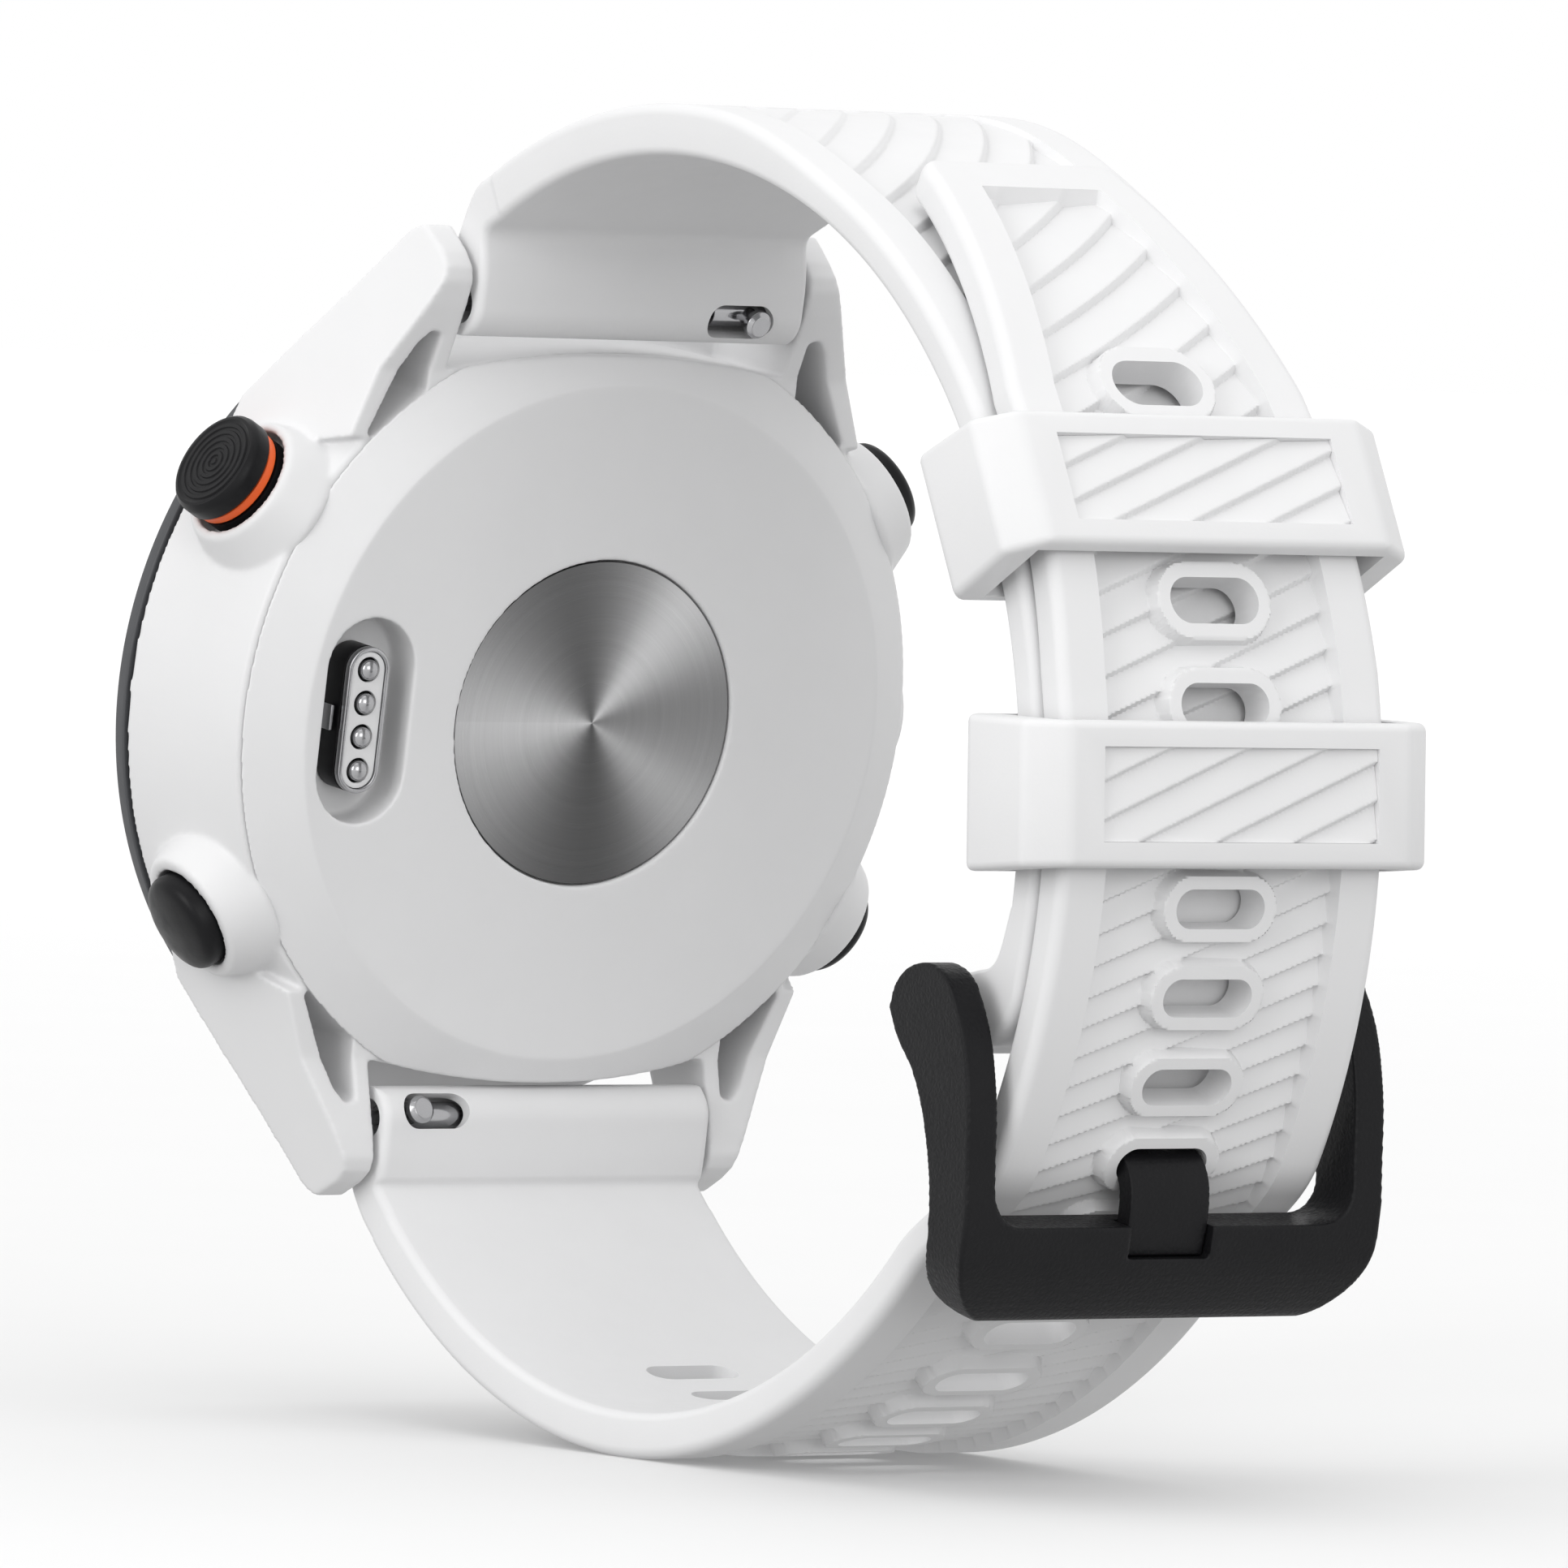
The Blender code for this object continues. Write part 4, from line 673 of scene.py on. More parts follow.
def make_case():
    """Case ring with its lugs, button bosses and bores, moulded in one."""
    slope = (CASE_FRONT_R - BACK_EDGE_R) / (CASE_FRONT_X - BACK_EDGE_X)
    rear_r = BACK_EDGE_R + slope * (CASE_REAR_X - BACK_EDGE_X)
    section = [(0, CASE_FRONT_X), (CASE_FRONT_R, CASE_FRONT_X), (rear_r, CASE_REAR_X), (0, CASE_REAR_X)]
    body = to_object(turned(section, CASE_AXIS, CASE_SIDES))
    boolean(body, [lug(side, end) for side in (-1, 1) for end in (-1, 1)], "UNION")
    cut(body, [wall_cutter(end, -7.60, FAR) for end in (-1, 1)])
    boss = rounded_profile([(0, 19.6), (4.40, 19.6), (3.35, 22.2), (0, 22.2)], 0.35)
    boolean(body, [turned(boss, button_frame(angle, depth), 96) for angle, _r, _f, depth in BUTTONS.values()],
            "UNION")
    pockets = [[(side * y, end * z) for y, z in POCKET_OUTLINE] for side in (-1, 1) for end in (-1, 1)]
    cut(body, [prism(outline, CASE_AXIS, POCKET_FLOOR_X, FAR) for outline in pockets])
    for angle, cap_r, _face, depth in BUTTONS.values():
        bore = [(0, 15.4), (1.05, 15.4), (1.05, 19.6), (1.6, 19.6), (1.6, 20.8), (cap_r + 0.14, 20.8),
                (cap_r + 0.14, 26.0), (0, 26.0)]
        cut(body, [turned(bore, button_frame(angle, depth), 96)])
    for end, bar_z in BARS.values():
        for side in (-1, 1):
            bore = axis_frame((BAR_X, 0, end * bar_z), (0, side, 0), (1, 0, 0))
            cut(body, [turned(rod(0.60, LUG_INNER_Y - 0.5, 11.35), bore, SMALL_SIDES)])
    cut(body, [turned(rod(CAVITY_R, CASE_FRONT_X - FAR, FAR), CASE_AXIS, CASE_SIDES)])
    remeshed(body, 0.13, 8)
    piece("case_shell", body, "white_polymer", ["case_body"], sharp=60.0)


def make_cover():
    """Bevelled back with the recess of the charging port and the plate's seat."""
    profile = [(0, -0.95), (15.60, -0.95), (15.60, -2.60), (16.75, -2.60), (16.75, BACK_EDGE_X),
               (BACK_EDGE_R, BACK_EDGE_X), (BACK_FLAT_R, BACK_X), (0, BACK_X)]
    cover = to_object(turned(profile, CASE_AXIS, CASE_SIDES))
    boss = to_object(prism(stadium(3.30, 5.95), PORT, -2.95, -0.65))
    boolean(boss, [turned(rod(16.70, -4, 1), CASE_AXIS, CASE_SIDES)], "INTERSECT")
    bm = bmesh.new()
    bm.from_mesh(boss.data)
    bpy.data.objects.remove(boss)
    boolean(cover, [bm], "UNION")
    cut(cover, [prism(stadium(2.55, 5.20), PORT, PORT_FLOOR_X, FAR)])
    cut(cover, [wall_cutter(end, -2.60, FAR) for end in (-1, 1)])
    cut(cover, [turned(rod(PLATE_R + 0.10, -0.45, FAR), CASE_AXIS, CASE_SIDES)])
    remeshed(cover, 0.12, 7)
    piece("back_cover", cover, "white_polymer", ["rear_cover"], sharp=60.0)


def make_case_rounds():
    """Plate, bezel and glass."""
    plate = rounded_profile(PLATE_SECTION, 0.05)
    piece("back_disc", turned(plate, CASE_AXIS, FINE_SIDES), "brushed_steel", ["back_plate"], own_axes=True)
    bezel = rounded_profile(BEZEL_SECTION, 0.12)[:-1]
    piece("bezel", turned(bezel, CASE_AXIS, FINE_SIDES), "bezel_grey", ["bezel_ring"])
    lens = rounded_profile(LENS_SECTION, 0.08)
    piece("lens", turned(lens, CASE_AXIS, FINE_SIDES), "glass", ["front_glass"])


def make_port():
    """Contact block with its rim, face, four domed contacts and side latch."""
    block = bevelled(to_object(prism(stadium(1.20, 3.70), PORT, -2.0, -0.45)), 0.06)
    piece("socket_block", block, "button_black", ["charge_port_block"])
    rim = to_object(prism(stadium(1.20, 3.70), PORT, -0.35, 0.05))
    cut(rim, [prism(stadium(0.98, 3.48), PORT, -FAR, FAR)])
    piece("socket_rim", bevelled(rim, 0.06), "polished_steel", ["charge_port_rim"])
    face = to_object(prism(stadium(0.95, 3.45), PORT, -0.35, -0.05))
    spots = [axis_frame((0, PORT_Y, (k - 1.5) * CONTACT_PITCH), (1, 0, 0), (0, 1, 0)) for k in range(4)]
    cut(face, [turned(rod(0.64, -FAR, FAR), spot, SMALL_SIDES) for spot in spots])
    piece("socket_face", bevelled(face, 0.03), "white_polymer", ["charge_port_face"])
    dome = [(0, -0.35), (CONTACT_R, -0.35)]
    turns = [k * math.pi / 20 for k in range(10)]
    dome += [(CONTACT_R * math.cos(turn), -0.04 + 0.39 * math.sin(turn)) for turn in turns]
    dome.append((0, 0.35))
    for k, spot in enumerate(spots):
        number = "_%d" % (k + 1)
        piece("socket_pin" + number, turned(dome, spot, SMALL_SIDES), "polished_steel",
              ["charge_contact" + number])
    latch = prism(rectangle((-1.45, 0), (0.125, 0.65)), PORT, -1.55, -0.65)
    piece("socket_latch", bevelled(to_object(latch), 0.05), "polished_steel", ["charge_port_latch"])


def make_buttons():
    """Push buttons: the start button has turned grooves and an orange ring, the others are domed."""
    stem = [(STEM_R, CAP_FLOOR_AT), (STEM_R, 16.75), (0.50, 16.75), (0.50, 16.35), (STEM_R, 16.35),
            (STEM_R, 16.10), (0, 16.10)]
    for label, (angle, cap_r, face, depth) in BUTTONS.items():
        place = button_frame(angle, depth)
        body = label + "_button"
        if label == "start":
            head = [(0, face), (0.16, face), (0.20, face - 0.06)]
            for groove in range(5):
                middle = 0.46 + 0.40 * groove
                head += [(middle - 0.13, face - 0.07), (middle - 0.09, face - 0.01),
                         (middle + 0.09, face - 0.01), (middle + 0.13, face - 0.07)]
            head += [(2.32, face - 0.06), (2.40, face - 0.01), (2.55, face - 0.03), (2.72, face - 0.22),
                     (cap_r, face - 0.45), (cap_r, 23.02), (cap_r - 0.06, 22.95), (1.90, 22.95),
                     (1.90, 22.22), (2.62, 22.22), (2.62, CAP_FLOOR_AT)]
            ring = rounded_profile(ACCENT_SECTION, 0.08)[:-1]
            piece("start_accent", turned(ring, place), "orange_polymer", ["button_start_ring"], body)
        else:
            dome = [(cap_r * share, face - drop) for share, drop in CAP_DOME]
            head = [tuple(p) for p in smooth_path(dome, 0.12)] + [(cap_r, CAP_FLOOR_AT)]
        piece(label + "_cap", turned(head + stem, place), "button_black", ["button_" + label], body)


# ---- strap

def ramp(value, low, high):
    """Smooth ramp from 0 at low to 1 at high, for arrays too."""
    t = np.clip((value - low) / (high - low), 0.0, 1.0)
    return t * t * (3 - 2 * t)


def on_loop(radius, angle):
    """Point of the strap plane at a radius and an angle in degrees about the loop's centre."""
    turn = math.radians(angle)
    return (LOOP_X + radius * math.cos(turn), LOOP_Z + radius * math.sin(turn))


def loop_frame(angle):
    """Local X along the loop's tangent, Y across the strap and Z outward at an angle."""
    c = math.cos(math.radians(angle))
    s = math.sin(math.radians(angle))
    return axis_frame((LOOP_X, 0, LOOP_Z), (c, 0, s), (-s, 0, c))


def tail_half_width(angle):
    """Half width of the long strap, which tapers to a rounded tip."""
    if angle <= 20.0:
        return STRAP_HALF + (TAIL_HALF - STRAP_HALF) * float(ramp(angle, -60.0, 10.0))
    if angle <= 44.0:
        return TAIL_HALF - 0.75 * (angle - 20.0) / 24.0
    half = TAIL_HALF - 0.75 - 2.85 * min((angle - 44.0) / (TAIL_END_ANGLE - 3.0 - 44.0), 1.0)
    if angle > TAIL_END_ANGLE - 3.0:
        rest = (angle - TAIL_END_ANGLE + 3.0) / 3.0
        half -= 1.20 * (1 - math.sqrt(max(0.0, 1 - rest * rest)))
    return half


def long_radii(angle):
    """Inner and outer radius of the long strap."""
    shift = float(ramp(angle, -35.0, -20.5))
    thicker = 0.45 * float(ramp(-angle, 45.0, 85.0))
    return (STRAP_INNER_R + (TAIL_INNER_R - STRAP_INNER_R) * shift,
            STRAP_OUTER_R + thicker + (TAIL_OUTER_R - STRAP_OUTER_R) * shift)


def short_radii(angle):
    """Inner and outer radius of the short strap."""
    return STRAP_INNER_R, STRAP_OUTER_R + 0.68 * float(ramp(angle, 72.0, 92.0))


def short_half_width(angle):
    """Half width of the short strap."""
    return SHORT_HALF + (STRAP_HALF - SHORT_HALF) * float(ramp(angle, 60.0, 110.0))


def stretch(angle):
    """Growth of the pattern towards the tail's tip."""
    return 1 + PATTERN_GROWTH * np.maximum(0.0, angle)


RIB_STEP = 0.5
RIB_ANGLES = np.arange(-140.0, 141.0, RIB_STEP)
RIB_PITCH = np.where(RIB_ANGLES < 0, 1.55,
                     1.58 * (1 + PATTERN_GROWTH * RIB_ANGLES + 0.00012 * RIB_ANGLES ** 2))
RIB_COUNT = np.cumsum(RIB_STEP * math.radians(1) * TAIL_OUTER_R / RIB_PITCH)


def lap(phase):
    """Lap-board section: a rounded step up, then a slow fall, once per unit of phase."""
    t = phase - np.floor(phase)
    return ramp(t, 0.0, 0.13) * (1 - 0.92 * np.clip((t - 0.07) / 0.93, 0, 1))


def rib_relief(angle, y):
    """Height of the slanted ribs, 0 to 1, on the strap's outer face."""
    slant = np.where(angle > 20, 0.40 + 0.000213 * (angle - 20) ** 2, 0.40)
    level = angle - np.degrees(slant * y / TAIL_OUTER_R)
    return lap(np.interp(level, RIB_ANGLES, RIB_COUNT))


def along_path(path, count):
    """Points at even shares of a path's index, without its first."""
    points = []
    for pick in np.linspace(0, len(path) - 1, count + 1)[1:]:
        k = min(int(pick), len(path) - 2)
        points.append(tuple(path[k] + (path[k + 1] - path[k]) * (pick - k)))
    return points


def knuckle(label, radii):
    """Stations of a strap's rounded end about its spring bar, up to the start of its loop."""
    end, bar_z = BARS[label]
    start = LUG_END_ANGLE * end
    inner = []
    outer = []
    for degrees in range(12, 91, 6):
        turn = math.radians(degrees)
        z = bar_z - KNUCKLE_R * math.cos(turn)
        inner.append((BAR_X + KNUCKLE_R * math.sin(turn), end * z))
        outer.append((BAR_X - KNUCKLE_R * math.sin(turn), end * z))
    low, high = radii(start)
    inner_path = [inner[-1], (0.42, end * 22.2), (0.30, end * 23.3), on_loop(low, start),
                  on_loop(low, start - 3 * end)]
    outer_path = [outer[-1], (-2.85, end * 22.2), (-2.55, end * 24.0), on_loop(high, start),
                  on_loop(high, start - 3 * end)]
    inner += along_path(smooth_path(inner_path, 0.25), 26)
    outer += along_path(smooth_path(outer_path, 0.25), 26)
    return inner, outer


def strip_solid(inner, outer, half, angle, relief):
    """Closed strap solid; relief(angle, y, half) is the depth below the outer face in mm."""
    inner = np.array(inner)
    outer = np.array(outer)
    half = np.array(half)
    angle = np.array(angle)
    thick = np.linalg.norm(outer - inner, axis=1)
    direction = (inner - outer) / thick[:, None]
    outer_round = np.minimum(EDGE_ROUND, 0.34 * thick)
    inner_round = np.minimum(0.45, 0.26 * thick)
    edge_steps = np.array([0.0, 0.02, 0.07, 0.15, 0.26, 0.40, 0.60, 0.85, 1.0])
    flat_steps = np.array([0.9, 1.3, 1.7, 2.1, 2.4, BORDER - 0.09, BORDER])
    floor_count = 122
    columns = []
    for h, r in zip(half, outer_round):
        left = list(-h + edge_steps * r) + list(-h + flat_steps)
        middle = list(np.linspace(-h + BORDER + 0.07, h - BORDER - 0.07, floor_count))
        columns.append(left + middle + [-value for value in reversed(left)])
    y = np.array(columns)
    offset = half[:, None] - np.abs(y)
    r = outer_round[:, None]
    edge = np.where(offset < r, r - np.sqrt(np.maximum(r * r - (r - offset) ** 2, 0)), 0)
    depth = edge + relief(angle[:, None] + 0 * y, y, half[:, None])
    depth = np.minimum(depth, 0.62 * thick[:, None])
    inner_columns = []
    for h, r_in in zip(half, inner_round):
        left = list(-h + edge_steps * r_in)
        middle = list(np.linspace(h - 1.0, -h + 1.0, 25))
        inner_columns.append([-value for value in left] + middle + left[::-1])
    y_in = np.array(inner_columns)
    offset_in = half[:, None] - np.abs(y_in)
    r_in = inner_round[:, None]
    rise = np.where(offset_in < r_in, r_in - np.sqrt(np.maximum(r_in * r_in - (r_in - offset_in) ** 2, 0)), 0)
    top = outer[:, None, :] + direction[:, None, :] * depth[:, :, None]
    low = inner[:, None, :] - direction[:, None, :] * rise[:, :, None]
    ring_x = np.concatenate([top[:, :, 0], low[:, :, 0]], axis=1)
    ring_z = np.concatenate([top[:, :, 1], low[:, :, 1]], axis=1)
    ring_y = np.concatenate([y, y_in], axis=1)
    rows, width = ring_x.shape
    points = np.stack([ring_x, ring_y, ring_z], axis=2).reshape(-1, 3)
    here = np.arange(rows - 1)[:, None] * width + np.arange(width)[None, :]
    beside = np.arange(rows - 1)[:, None] * width + (np.arange(width)[None, :] + 1) % width
    quads = np.stack([here, beside, beside + width, here + width], axis=2).reshape(-1, 4)
    faces = quads.tolist()
    faces.append(list(range(width))[::-1])
    faces.append(list(range((rows - 1) * width, rows * width)))
    mesh = bpy.data.meshes.new("strap")
    mesh.from_pydata(points.tolist(), [], faces)
    mesh.update()
    bm = bmesh.new()
    bm.from_mesh(mesh)
    bpy.data.meshes.remove(mesh)
    bmesh.ops.remove_doubles(bm, verts=bm.verts, dist=0.0005)
    return to_object(bm)


def slot_distance(angle, y, middle, half_width, half_height):
    """Distance in mm from the outline of a slot shape centred at an angle, negative inside."""
    along = np.radians(angle - middle) * TAIL_OUTER_R
    across = np.maximum(np.abs(y) - (half_width - half_height), 0)
    return np.hypot(along, across) - half_height


def floor_mask(angle, y, half, low, high):
    """1 on the recessed floor between two angles, 0 on the border."""
    side = ramp(half - BORDER + 0.04 - np.abs(y), 0.0, 0.06)
    reach = np.radians(1) * TAIL_OUTER_R
    return side * ramp((angle - low) * reach, 0.0, 0.14) * ramp((high - angle) * reach, 0.0, 0.14)


def long_relief(angle, y, half):
    """Recessed ribbed floor with a raised rim about each slot."""
    mask = floor_mask(angle, y, half, -112.0, TAIL_END_ANGLE - 4.6)
    for middle in SLOT_ANGLES:
        grow = float(stretch(middle))
        rim = slot_distance(angle, y, middle, RIM_HALF_WIDTH, RIM_HALF_HEIGHT * grow)
        mask = mask * ramp(rim, -0.04, 0.14)
    tip = ramp(angle, TAIL_END_ANGLE - 0.9, TAIL_END_ANGLE) ** 2 * 0.45
    return mask * (FLOOR_DEPTH - RIB_HEIGHT * rib_relief(angle, y)) + tip


def short_relief(angle, y, half):
    """Ribbed floor that fades out towards the lug."""
    mask = floor_mask(angle, y, half, 6.0, 99.0)
    fade = 1 - 0.75 * ramp(angle - 0.6 * y, 76.0, 98.0)
    return mask * fade * (0.62 - 0.40 * rib_relief(angle, y))


def bar_frame(label):
    """Local Z along a spring bar, towards its plunger."""
    side, bar_z = BARS[label]
    return axis_frame((BAR_X, 0, side * bar_z), (0, side, 0), (1, 0, 0))


def knob_frame(label):
    """Local Z along the knob of a plunger, and local Y along the bar."""
    side, bar_z = BARS[label]
    lean = math.radians(KNOB_LEAN[label])
    axis = (math.cos(lean), 0, -side * math.sin(lean))
    return axis_frame((BAR_X, side * KNOB_Y[label], side * bar_z), axis, (0, side, 0))


def cut_bar(strap, label):
    """Bore of the spring bar and the round-ended slot for its knob."""
    cut(strap, [turned(rod(0.98, -14, 14), bar_frame(label), SMALL_SIDES)], "MANIFOLD")
    outline = [(x - 1.02, y) for y, x in stadium(0.92, 1.975)]
    cut(strap, [prism(outline, knob_frame(label), 0, FAR)], "MANIFOLD")


def make_long_strap():
    """Six o'clock strap."""
    inner, outer = knuckle("bottom", long_radii)
    angles = [PLAIN_FAR_BELOW] * len(inner)
    halves = [STRAP_HALF - 0.05] * len(inner)
    start = -LUG_END_ANGLE + 3.0
    body = np.arange(start + 0.2, TAIL_END_ANGLE - 0.6, 0.2)
    tip = TAIL_END_ANGLE - 0.6 * (1 - np.sin(np.linspace(0, math.pi / 2, 14)))
    for angle in list(body) + list(tip):
        low, high = long_radii(angle)
        end = max(0.0, (angle - TAIL_END_ANGLE + 0.7) / 0.7)
        lift = 0.45 * (1 - math.sqrt(max(0.0, 1 - end * end)))
        inner.append(on_loop(low + lift, angle))
        outer.append(on_loop(high, angle))
        angles.append(angle)
        halves.append(tail_half_width(angle))
    strap = strip_solid(inner, outer, halves, angles, long_relief)
    slots = []
    for middle in SLOT_ANGLES:
        outline = stadium(SLOT_HALF_HEIGHT * float(stretch(middle)), SLOT_HALF_WIDTH, 20)
        slots.append(prism(outline, loop_frame(middle), 28.0, 37.0))
    cut(strap, [joined(slots)], "MANIFOLD")
    cut_bar(strap, "bottom")
    piece("band_long", strap, "white_silicone", ["strap_long"], sharp=42.0)


def make_short_strap():
    """Twelve o'clock strap, with the knuckles that hold the buckle's pin."""
    inner, outer = knuckle("top", short_radii)
    angles = [PLAIN_ABOVE] * len(inner)
    halves = [STRAP_HALF - 0.05] * len(inner)
    for angle in np.arange(LUG_END_ANGLE - 3.2, 0.0, -0.2):
        low, high = short_radii(angle)
        inner.append(on_loop(low, angle))
        outer.append(on_loop(high, angle))
        angles.append(angle)
        halves.append(short_half_width(angle))
    inner_end = [on_loop(STRAP_INNER_R, 0.4)] + PIN_END_INNER
    outer_end = [on_loop(STRAP_OUTER_R, 0.4)] + PIN_END_OUTER
    count = 40
    inner += along_path(smooth_path(inner_end, 0.2), count)
    outer += along_path(smooth_path(outer_end, 0.2), count)
    angles += [PLAIN_BELOW] * count
    halves += [SHORT_HALF] * count
    strap = strip_solid(inner, outer, halves, angles, short_relief)
    cut_bar(strap, "top")
    pin = axis_frame((PIN_X, 0, PIN_Z), (0, 1, 0), (1, 0, 0))
    cut(strap, [turned(rod(PIN_BORE_R, -14, 14), pin, SMALL_SIDES)], "MANIFOLD")
    cut(strap, [prism(rectangle((46.55, -6.1), (2.55, 3.5)), ALONG_Y, -2.75, 2.75)], "MANIFOLD")
    boolean(strap, [prism(TONGUE_COVER, ALONG_Y, -3.3, 3.3)], "UNION", "MANIFOLD")
    piece("band_short", strap, "white_silicone", ["strap_short"], sharp=42.0)


def make_keepers():
    """Sliding keepers: rounded loops with a ribbed panel let into the face."""
    for name, angle in KEEPER_ANGLES.items():
        place = loop_frame(angle)
        bm = bmesh.new()
        rows = []
        for end in (-1, 1):
            reach = [KEEPER_HALF - 0.30 * (radius - KEEPER_INNER_R) / 6.4 for _y, radius in KEEPER_SECTION]
            rows.append([bm.verts.new(place @ Vector((end * x, y, radius)))
                         for x, (y, radius) in zip(reach, KEEPER_SECTION)])
        close_rows(bm, *rows)
        keeper = bevelled(to_object(bm), 0.40, 4, 12.0)
        outline = rectangle((0, 32.60), (3 * KEEPER_HALF, 2.38))
        across = place @ Matrix(((1, 0, 0, 0), (0, 0, 1, 0), (0, 1, 0, 0), (0, 0, 0, 1)))
        cut(keeper, [prism(outline, across, -10.22, 10.22)])
        cut(keeper, [prism(rectangle((0, 0), (2.25, 8.10)), place, 35.45, 40.0)])
        body = name + "_loop"
        piece(name + "_ring", keeper, "white_silicone", [name], body, sharp=30.0)
        along = np.linspace(-2.24, 2.24, 46)
        y = np.linspace(-8.09, 8.09, 150)
        height = 35.46 + 0.34 * lap((along[:, None] + 0.41 * y[None, :]) / 1.86)
        panel = bmesh.new()
        grid = [[panel.verts.new(place @ Vector((along[i], y[j], height[i, j]))) for j in range(len(y))]
                for i in range(len(along))]
        for i in range(len(along) - 1):
            for j in range(len(y) - 1):
                panel.faces.new((grid[i][j], grid[i][j + 1], grid[i + 1][j + 1], grid[i + 1][j]))
        piece(name + "_ribs", panel, "white_silicone", [], body, sharp=50.0)


# ---- buckle and bars

def arc(centre, radius, first, last, steps):
    """Points of an arc between two angles in degrees."""
    turns = [math.radians(first + (last - first) * k / steps) for k in range(steps + 1)]
    return [(centre[0] + radius * math.cos(turn), centre[1] + radius * math.sin(turn)) for turn in turns]


def u_outline(wide, inner, bottom, opening, top, corner, inner_corner):
    """Outline of the buckle's U seen from behind, as (y, z)."""
    points = arc((-wide + corner, bottom + corner), corner, 180, 270, 12)
    points += arc((wide - corner, bottom + corner), corner, 270, 360, 12)
    points += [(wide, top), (inner, top)]
    points += arc((inner - inner_corner, opening + inner_corner), inner_corner, 0, -90, 8)
    points += arc((-inner + inner_corner, opening + inner_corner), inner_corner, -90, -180, 8)
    points += [(-inner, top), (-wide, top)]
    return points


def make_buckle():
    """Buckle frame with chamfered arms, its pin and its tongue."""
    side = [tuple(point) for point in smooth_path(FRAME_SIDE + FRAME_SIDE[:1], 0.5)[:-1]]
    buckle = to_object(prism(side, ALONG_Y, -FRAME_HALF, FRAME_HALF))
    outline = u_outline(FRAME_HALF, 10.60, -19.60, -14.30, -1.50, 4.60, 1.80)
    boolean(buckle, [prism(outline, CASE_AXIS, 40, 60)], "INTERSECT")
    bevelled(buckle, 0.75, 1, 40.0)
    pin = axis_frame((PIN_X, 0, PIN_Z), (0, 1, 0), (1, 0, 0))
    cut(buckle, [turned(rod(PIN_BORE_R, -11.7, 11.7), pin, SMALL_SIDES)])
    cut(buckle, [prism(rectangle((0, -13.40), (2.40, 2.5)), CASE_AXIS, 51.30, 56.0)])
    remeshed(buckle, 0.10, 5)
    piece("buckle_loop_frame", buckle, "black_polymer", ["buckle_frame"], "buckle_loop", sharp=60.0)
    axle = rounded_profile(rod(0.70, -11.5, 11.5), 0.15)
    piece("buckle_axle", turned(axle, pin, SMALL_SIDES), "polished_steel", ["buckle_pin"])
    path = smooth_path(TANG_PATH, 0.12)
    inner = []
    outer = []
    for k, point in enumerate(path):
        along = path[min(k + 1, len(path) - 1)] - path[max(k - 1, 0)]
        along /= np.linalg.norm(along)
        across = np.array((-along[1], along[0])) * TANG_HALF_THICK
        inner.append(point - across)
        outer.append(point + across)
    bm = bmesh.new()
    rows = []
    for (ix, iz), (ox, oz) in zip(inner, outer):
        corners = [(ix, -TANG_HALF, iz), (ix, TANG_HALF, iz), (ox, TANG_HALF, oz), (ox, -TANG_HALF, oz)]
        rows.append([bm.verts.new(corner) for corner in corners])
    bm.faces.new(rows[0])
    bm.faces.new(rows[-1])
    for a, b in zip(rows, rows[1:]):
        for k in range(4):
            bm.faces.new((a[k], a[(k + 1) % 4], b[(k + 1) % 4], b[k]))
    tongue = to_object(bm)
    boolean(tongue, [turned(rod(1.55, -TANG_HALF, TANG_HALF), pin, 64)], "UNION")
    cut(tongue, [turned(rod(PIN_BORE_R, -4, 4), pin, 64)])
    remeshed(tongue, 0.07, 7)
    piece("buckle_tongue_blade", tongue, "black_polymer", ["buckle_tang"], "buckle_tongue", sharp=60.0)


def make_bars():
    """Quick-release spring bars."""
    for label in BARS:
        place = bar_frame(label)
        tube = rounded_profile([(0, -11.0), (BAR_TIP_R, -11.0), (BAR_TIP_R, -8.9), (BAR_R, -8.9),
                                (BAR_R, 2.6), (0.55, 2.6), (0.55, -3.34), (0, -3.34)], 0.06)
        piece("bar_tube_" + label, turned(tube, place, SMALL_SIDES), "polished_steel",
              ["spring_bar_tube_" + label])
        plunger = rounded_profile([(0, 1.0), (BAR_TIP_R, 1.0), (BAR_TIP_R, 4.9), (BAR_R, 4.9), (BAR_R, 9.2),
                                   (BAR_TIP_R, 9.2), (BAR_TIP_R, 11.0), (0, 11.0)], 0.06)
        knob = rounded_profile([(0, 0), (0.50, 0), (0.50, KNOB_RISE * 0.62), (KNOB_R, KNOB_RISE * 0.72),
                                (KNOB_R, KNOB_RISE * 0.90), (KNOB_R * 0.72, KNOB_RISE), (0, KNOB_RISE)], 0.10)
        parts = [turned(plunger, place, SMALL_SIDES), turned(knob, knob_frame(label), SMALL_SIDES)]
        piece("bar_plunger_" + label, joined(parts), "polished_steel", ["spring_bar_plunger_" + label],
              "release_" + label)


def repaint_kept_nodes():
    """Give the CAD nodes that stay, mostly inside the case, their detailed materials."""
    slots = {part["node"]: part["material_slot"] for part in frame["record"]["subparts"]}
    for name, obj in frame["nodes"].items():
        if obj.hide_render:
            continue
        obj.data.materials.clear()
        obj.data.materials.append(LOOKS[slots[name]])


# ---- scene

def area_light(name, position, side, power):
    """Square soft light aimed at the middle of the watch."""
    data = bpy.data.lights.new(name, "AREA")
    data.size = side
    data.energy = power
    obj = bpy.data.objects.new(name, data)
    bpy.context.scene.collection.objects.link(obj)
    obj.location = position
    obj.rotation_euler = (Vector(LIGHT_TARGET) - Vector(position)).to_track_quat("-Z", "Y").to_euler()


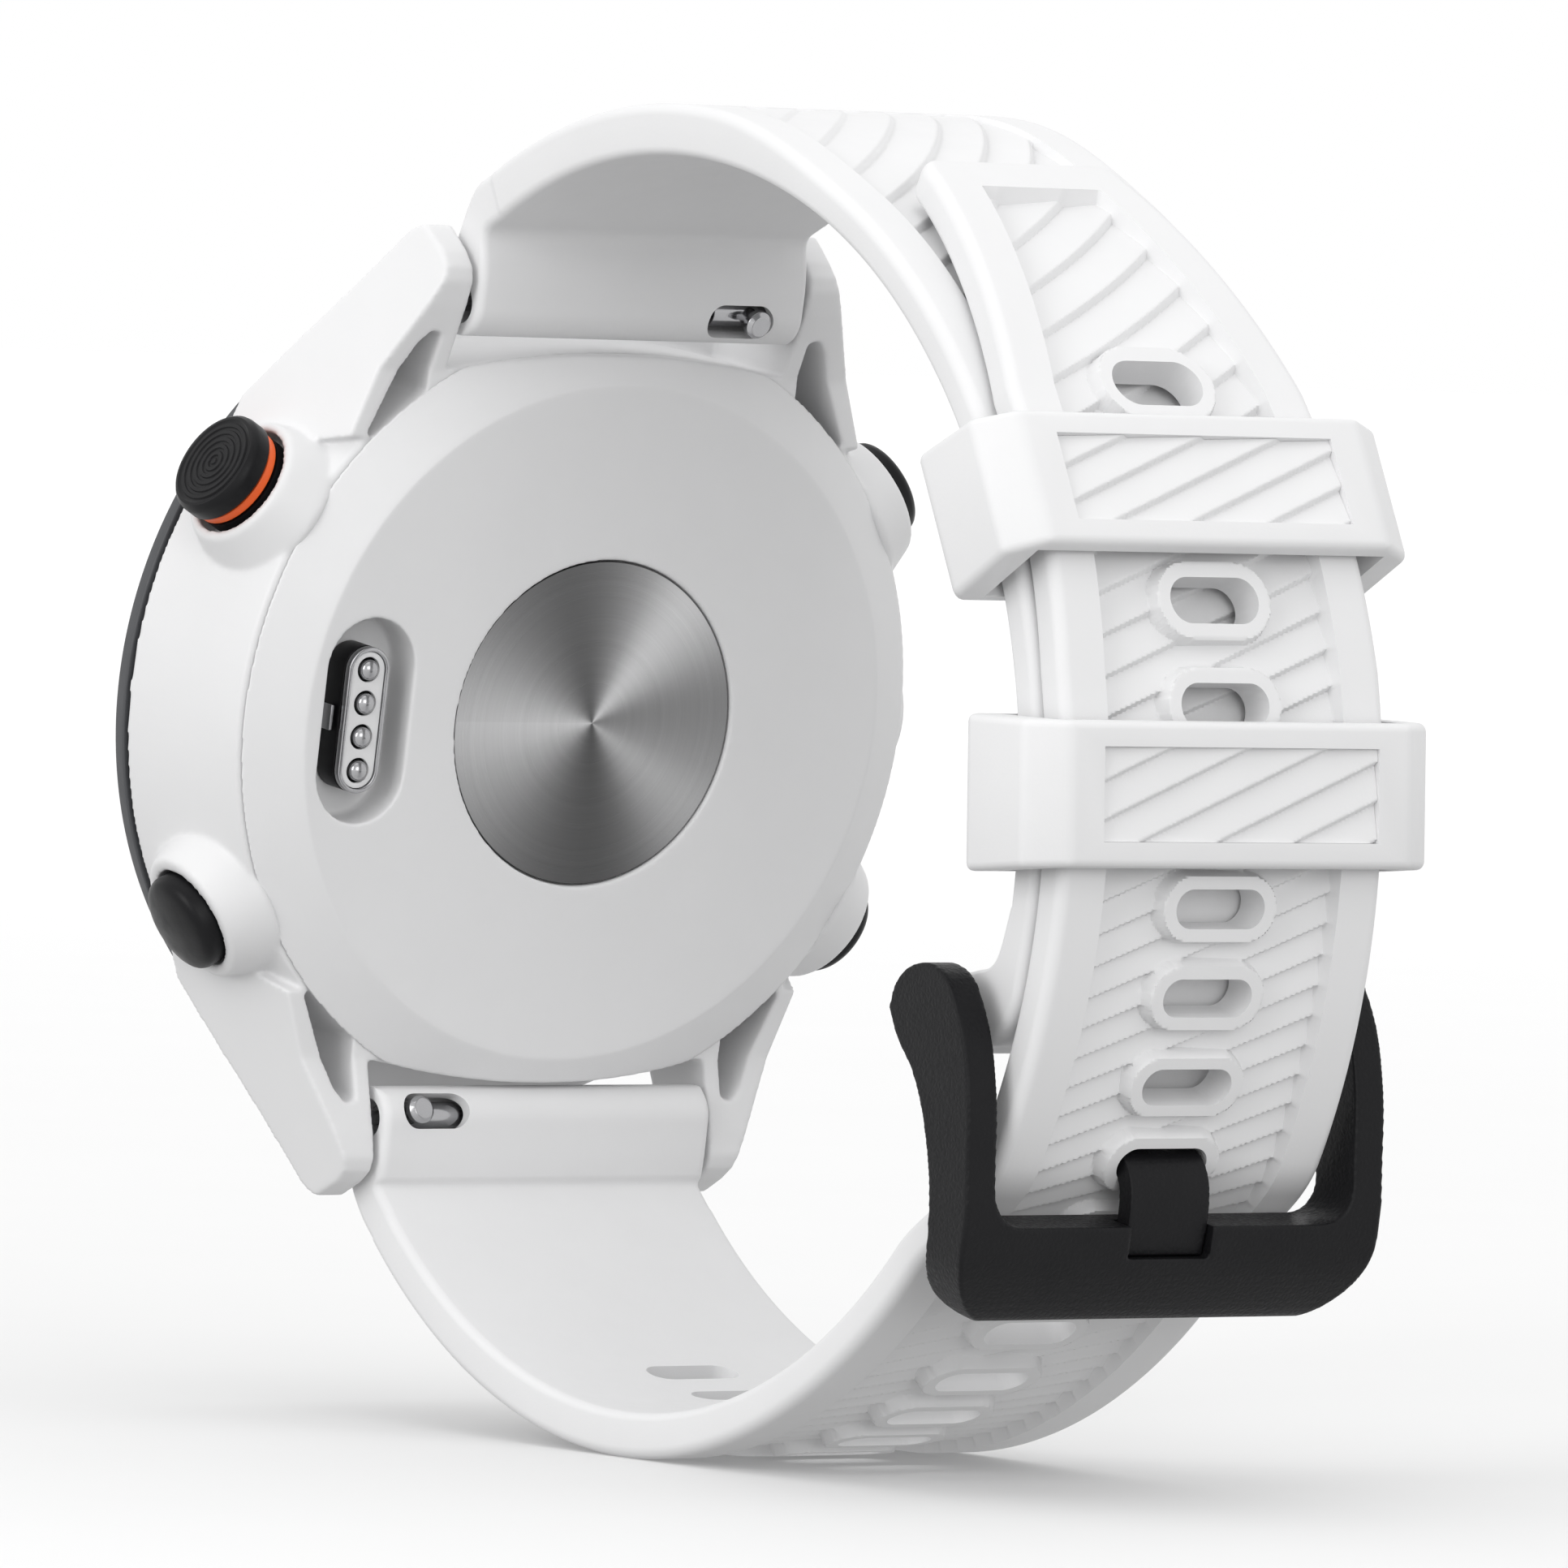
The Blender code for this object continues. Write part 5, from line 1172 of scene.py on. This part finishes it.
def make_camera():
    """Long-lens camera behind the case, a little above its axis and well to the side."""
    azimuth = math.radians(CAMERA_AZIMUTH)
    height = math.radians(CAMERA_HEIGHT)
    roll = math.radians(CAMERA_ROLL)
    level = math.cos(height)
    back = Vector((level * math.sin(azimuth), -level * math.cos(azimuth), math.sin(height)))
    right = Vector((math.cos(azimuth), math.sin(azimuth), 0))
    up = back.cross(right)
    right, up = (right * math.cos(roll) + up * math.sin(roll), up * math.cos(roll) - right * math.sin(roll))
    view = Matrix((right, up, back)).transposed().to_4x4()
    view.translation = (CAMERA_RIGHT * right + CAMERA_UP * up + CAMERA_BACK * back) * MM
    data = bpy.data.cameras.new("camera")
    data.sensor_width = SENSOR_WIDTH
    data.lens = FOCAL_LENGTH
    data.clip_start = 0.05
    data.clip_end = 20.0
    obj = bpy.data.objects.new("camera", data)
    bpy.context.scene.collection.objects.link(obj)
    obj.matrix_world = CASE @ view
    bpy.context.scene.camera = obj


def make_stage():
    """Wide pale floor with a painted glow: its emission grows with distance from the middle."""
    bm = bmesh.new()
    bmesh.ops.create_circle(bm, cap_ends=True, segments=96, radius=FLOOR_RADIUS)
    mesh = bpy.data.meshes.new("floor")
    bm.to_mesh(mesh)
    bm.free()
    made, tree, shader = new_material("paper", Roughness=0.9, Specular_IOR_Level=0.1,
                                              Emission_Color=(1, 1, 1, 1))
    where = object_space(tree)
    # Painted glow: emission rises from none near the watch to FLOOR_GLOW far out
    glow = remap(tree, vector_length(tree, where), 0.0, FLOOR_GLOW, FLOOR_GLOW_FROM, FLOOR_GLOW_TO)
    tree.links.new(glow, shader.inputs["Emission Strength"])
    fibre = noise(tree, where, 40.0, 4.0)
    tree.links.new(mixed(tree, fibre, (0.815, 0.815, 0.815), (0.83, 0.83, 0.83)), shader.inputs["Base Color"])
    mesh.materials.append(made)
    obj = bpy.data.objects.new("floor", mesh)
    bpy.context.scene.collection.objects.link(obj)
    obj.visible_diffuse = False


def make_light():
    """White surround, darker from below, with soft panels at the left, in front and above."""
    world = bpy.data.worlds.new("studio")
    bpy.context.scene.world = world
    world.use_nodes = True
    tree = world.node_tree
    split = tree.nodes.new("ShaderNodeSeparateXYZ")
    tree.links.new(tree.nodes.new("ShaderNodeTexCoord").outputs["Generated"], split.inputs["Vector"])
    background = tree.nodes["Background"]
    background.inputs["Color"].default_value = (1, 1, 1, 1)
    strength = remap(tree, split.outputs["Z"], WORLD_BELOW, 1.0, *HORIZON)
    tree.links.new(strength, background.inputs["Strength"])
    bpy.context.scene.view_settings.view_transform = "Standard"
    for name, (position, side, power) in LIGHTS.items():
        area_light(name, position, side, power)


make_camera()
make_stage()
make_light()
make_case()
make_cover()
make_case_rounds()
make_port()
make_buttons()
make_long_strap()
make_short_strap()
make_keepers()
make_buckle()
make_bars()
repaint_kept_nodes()
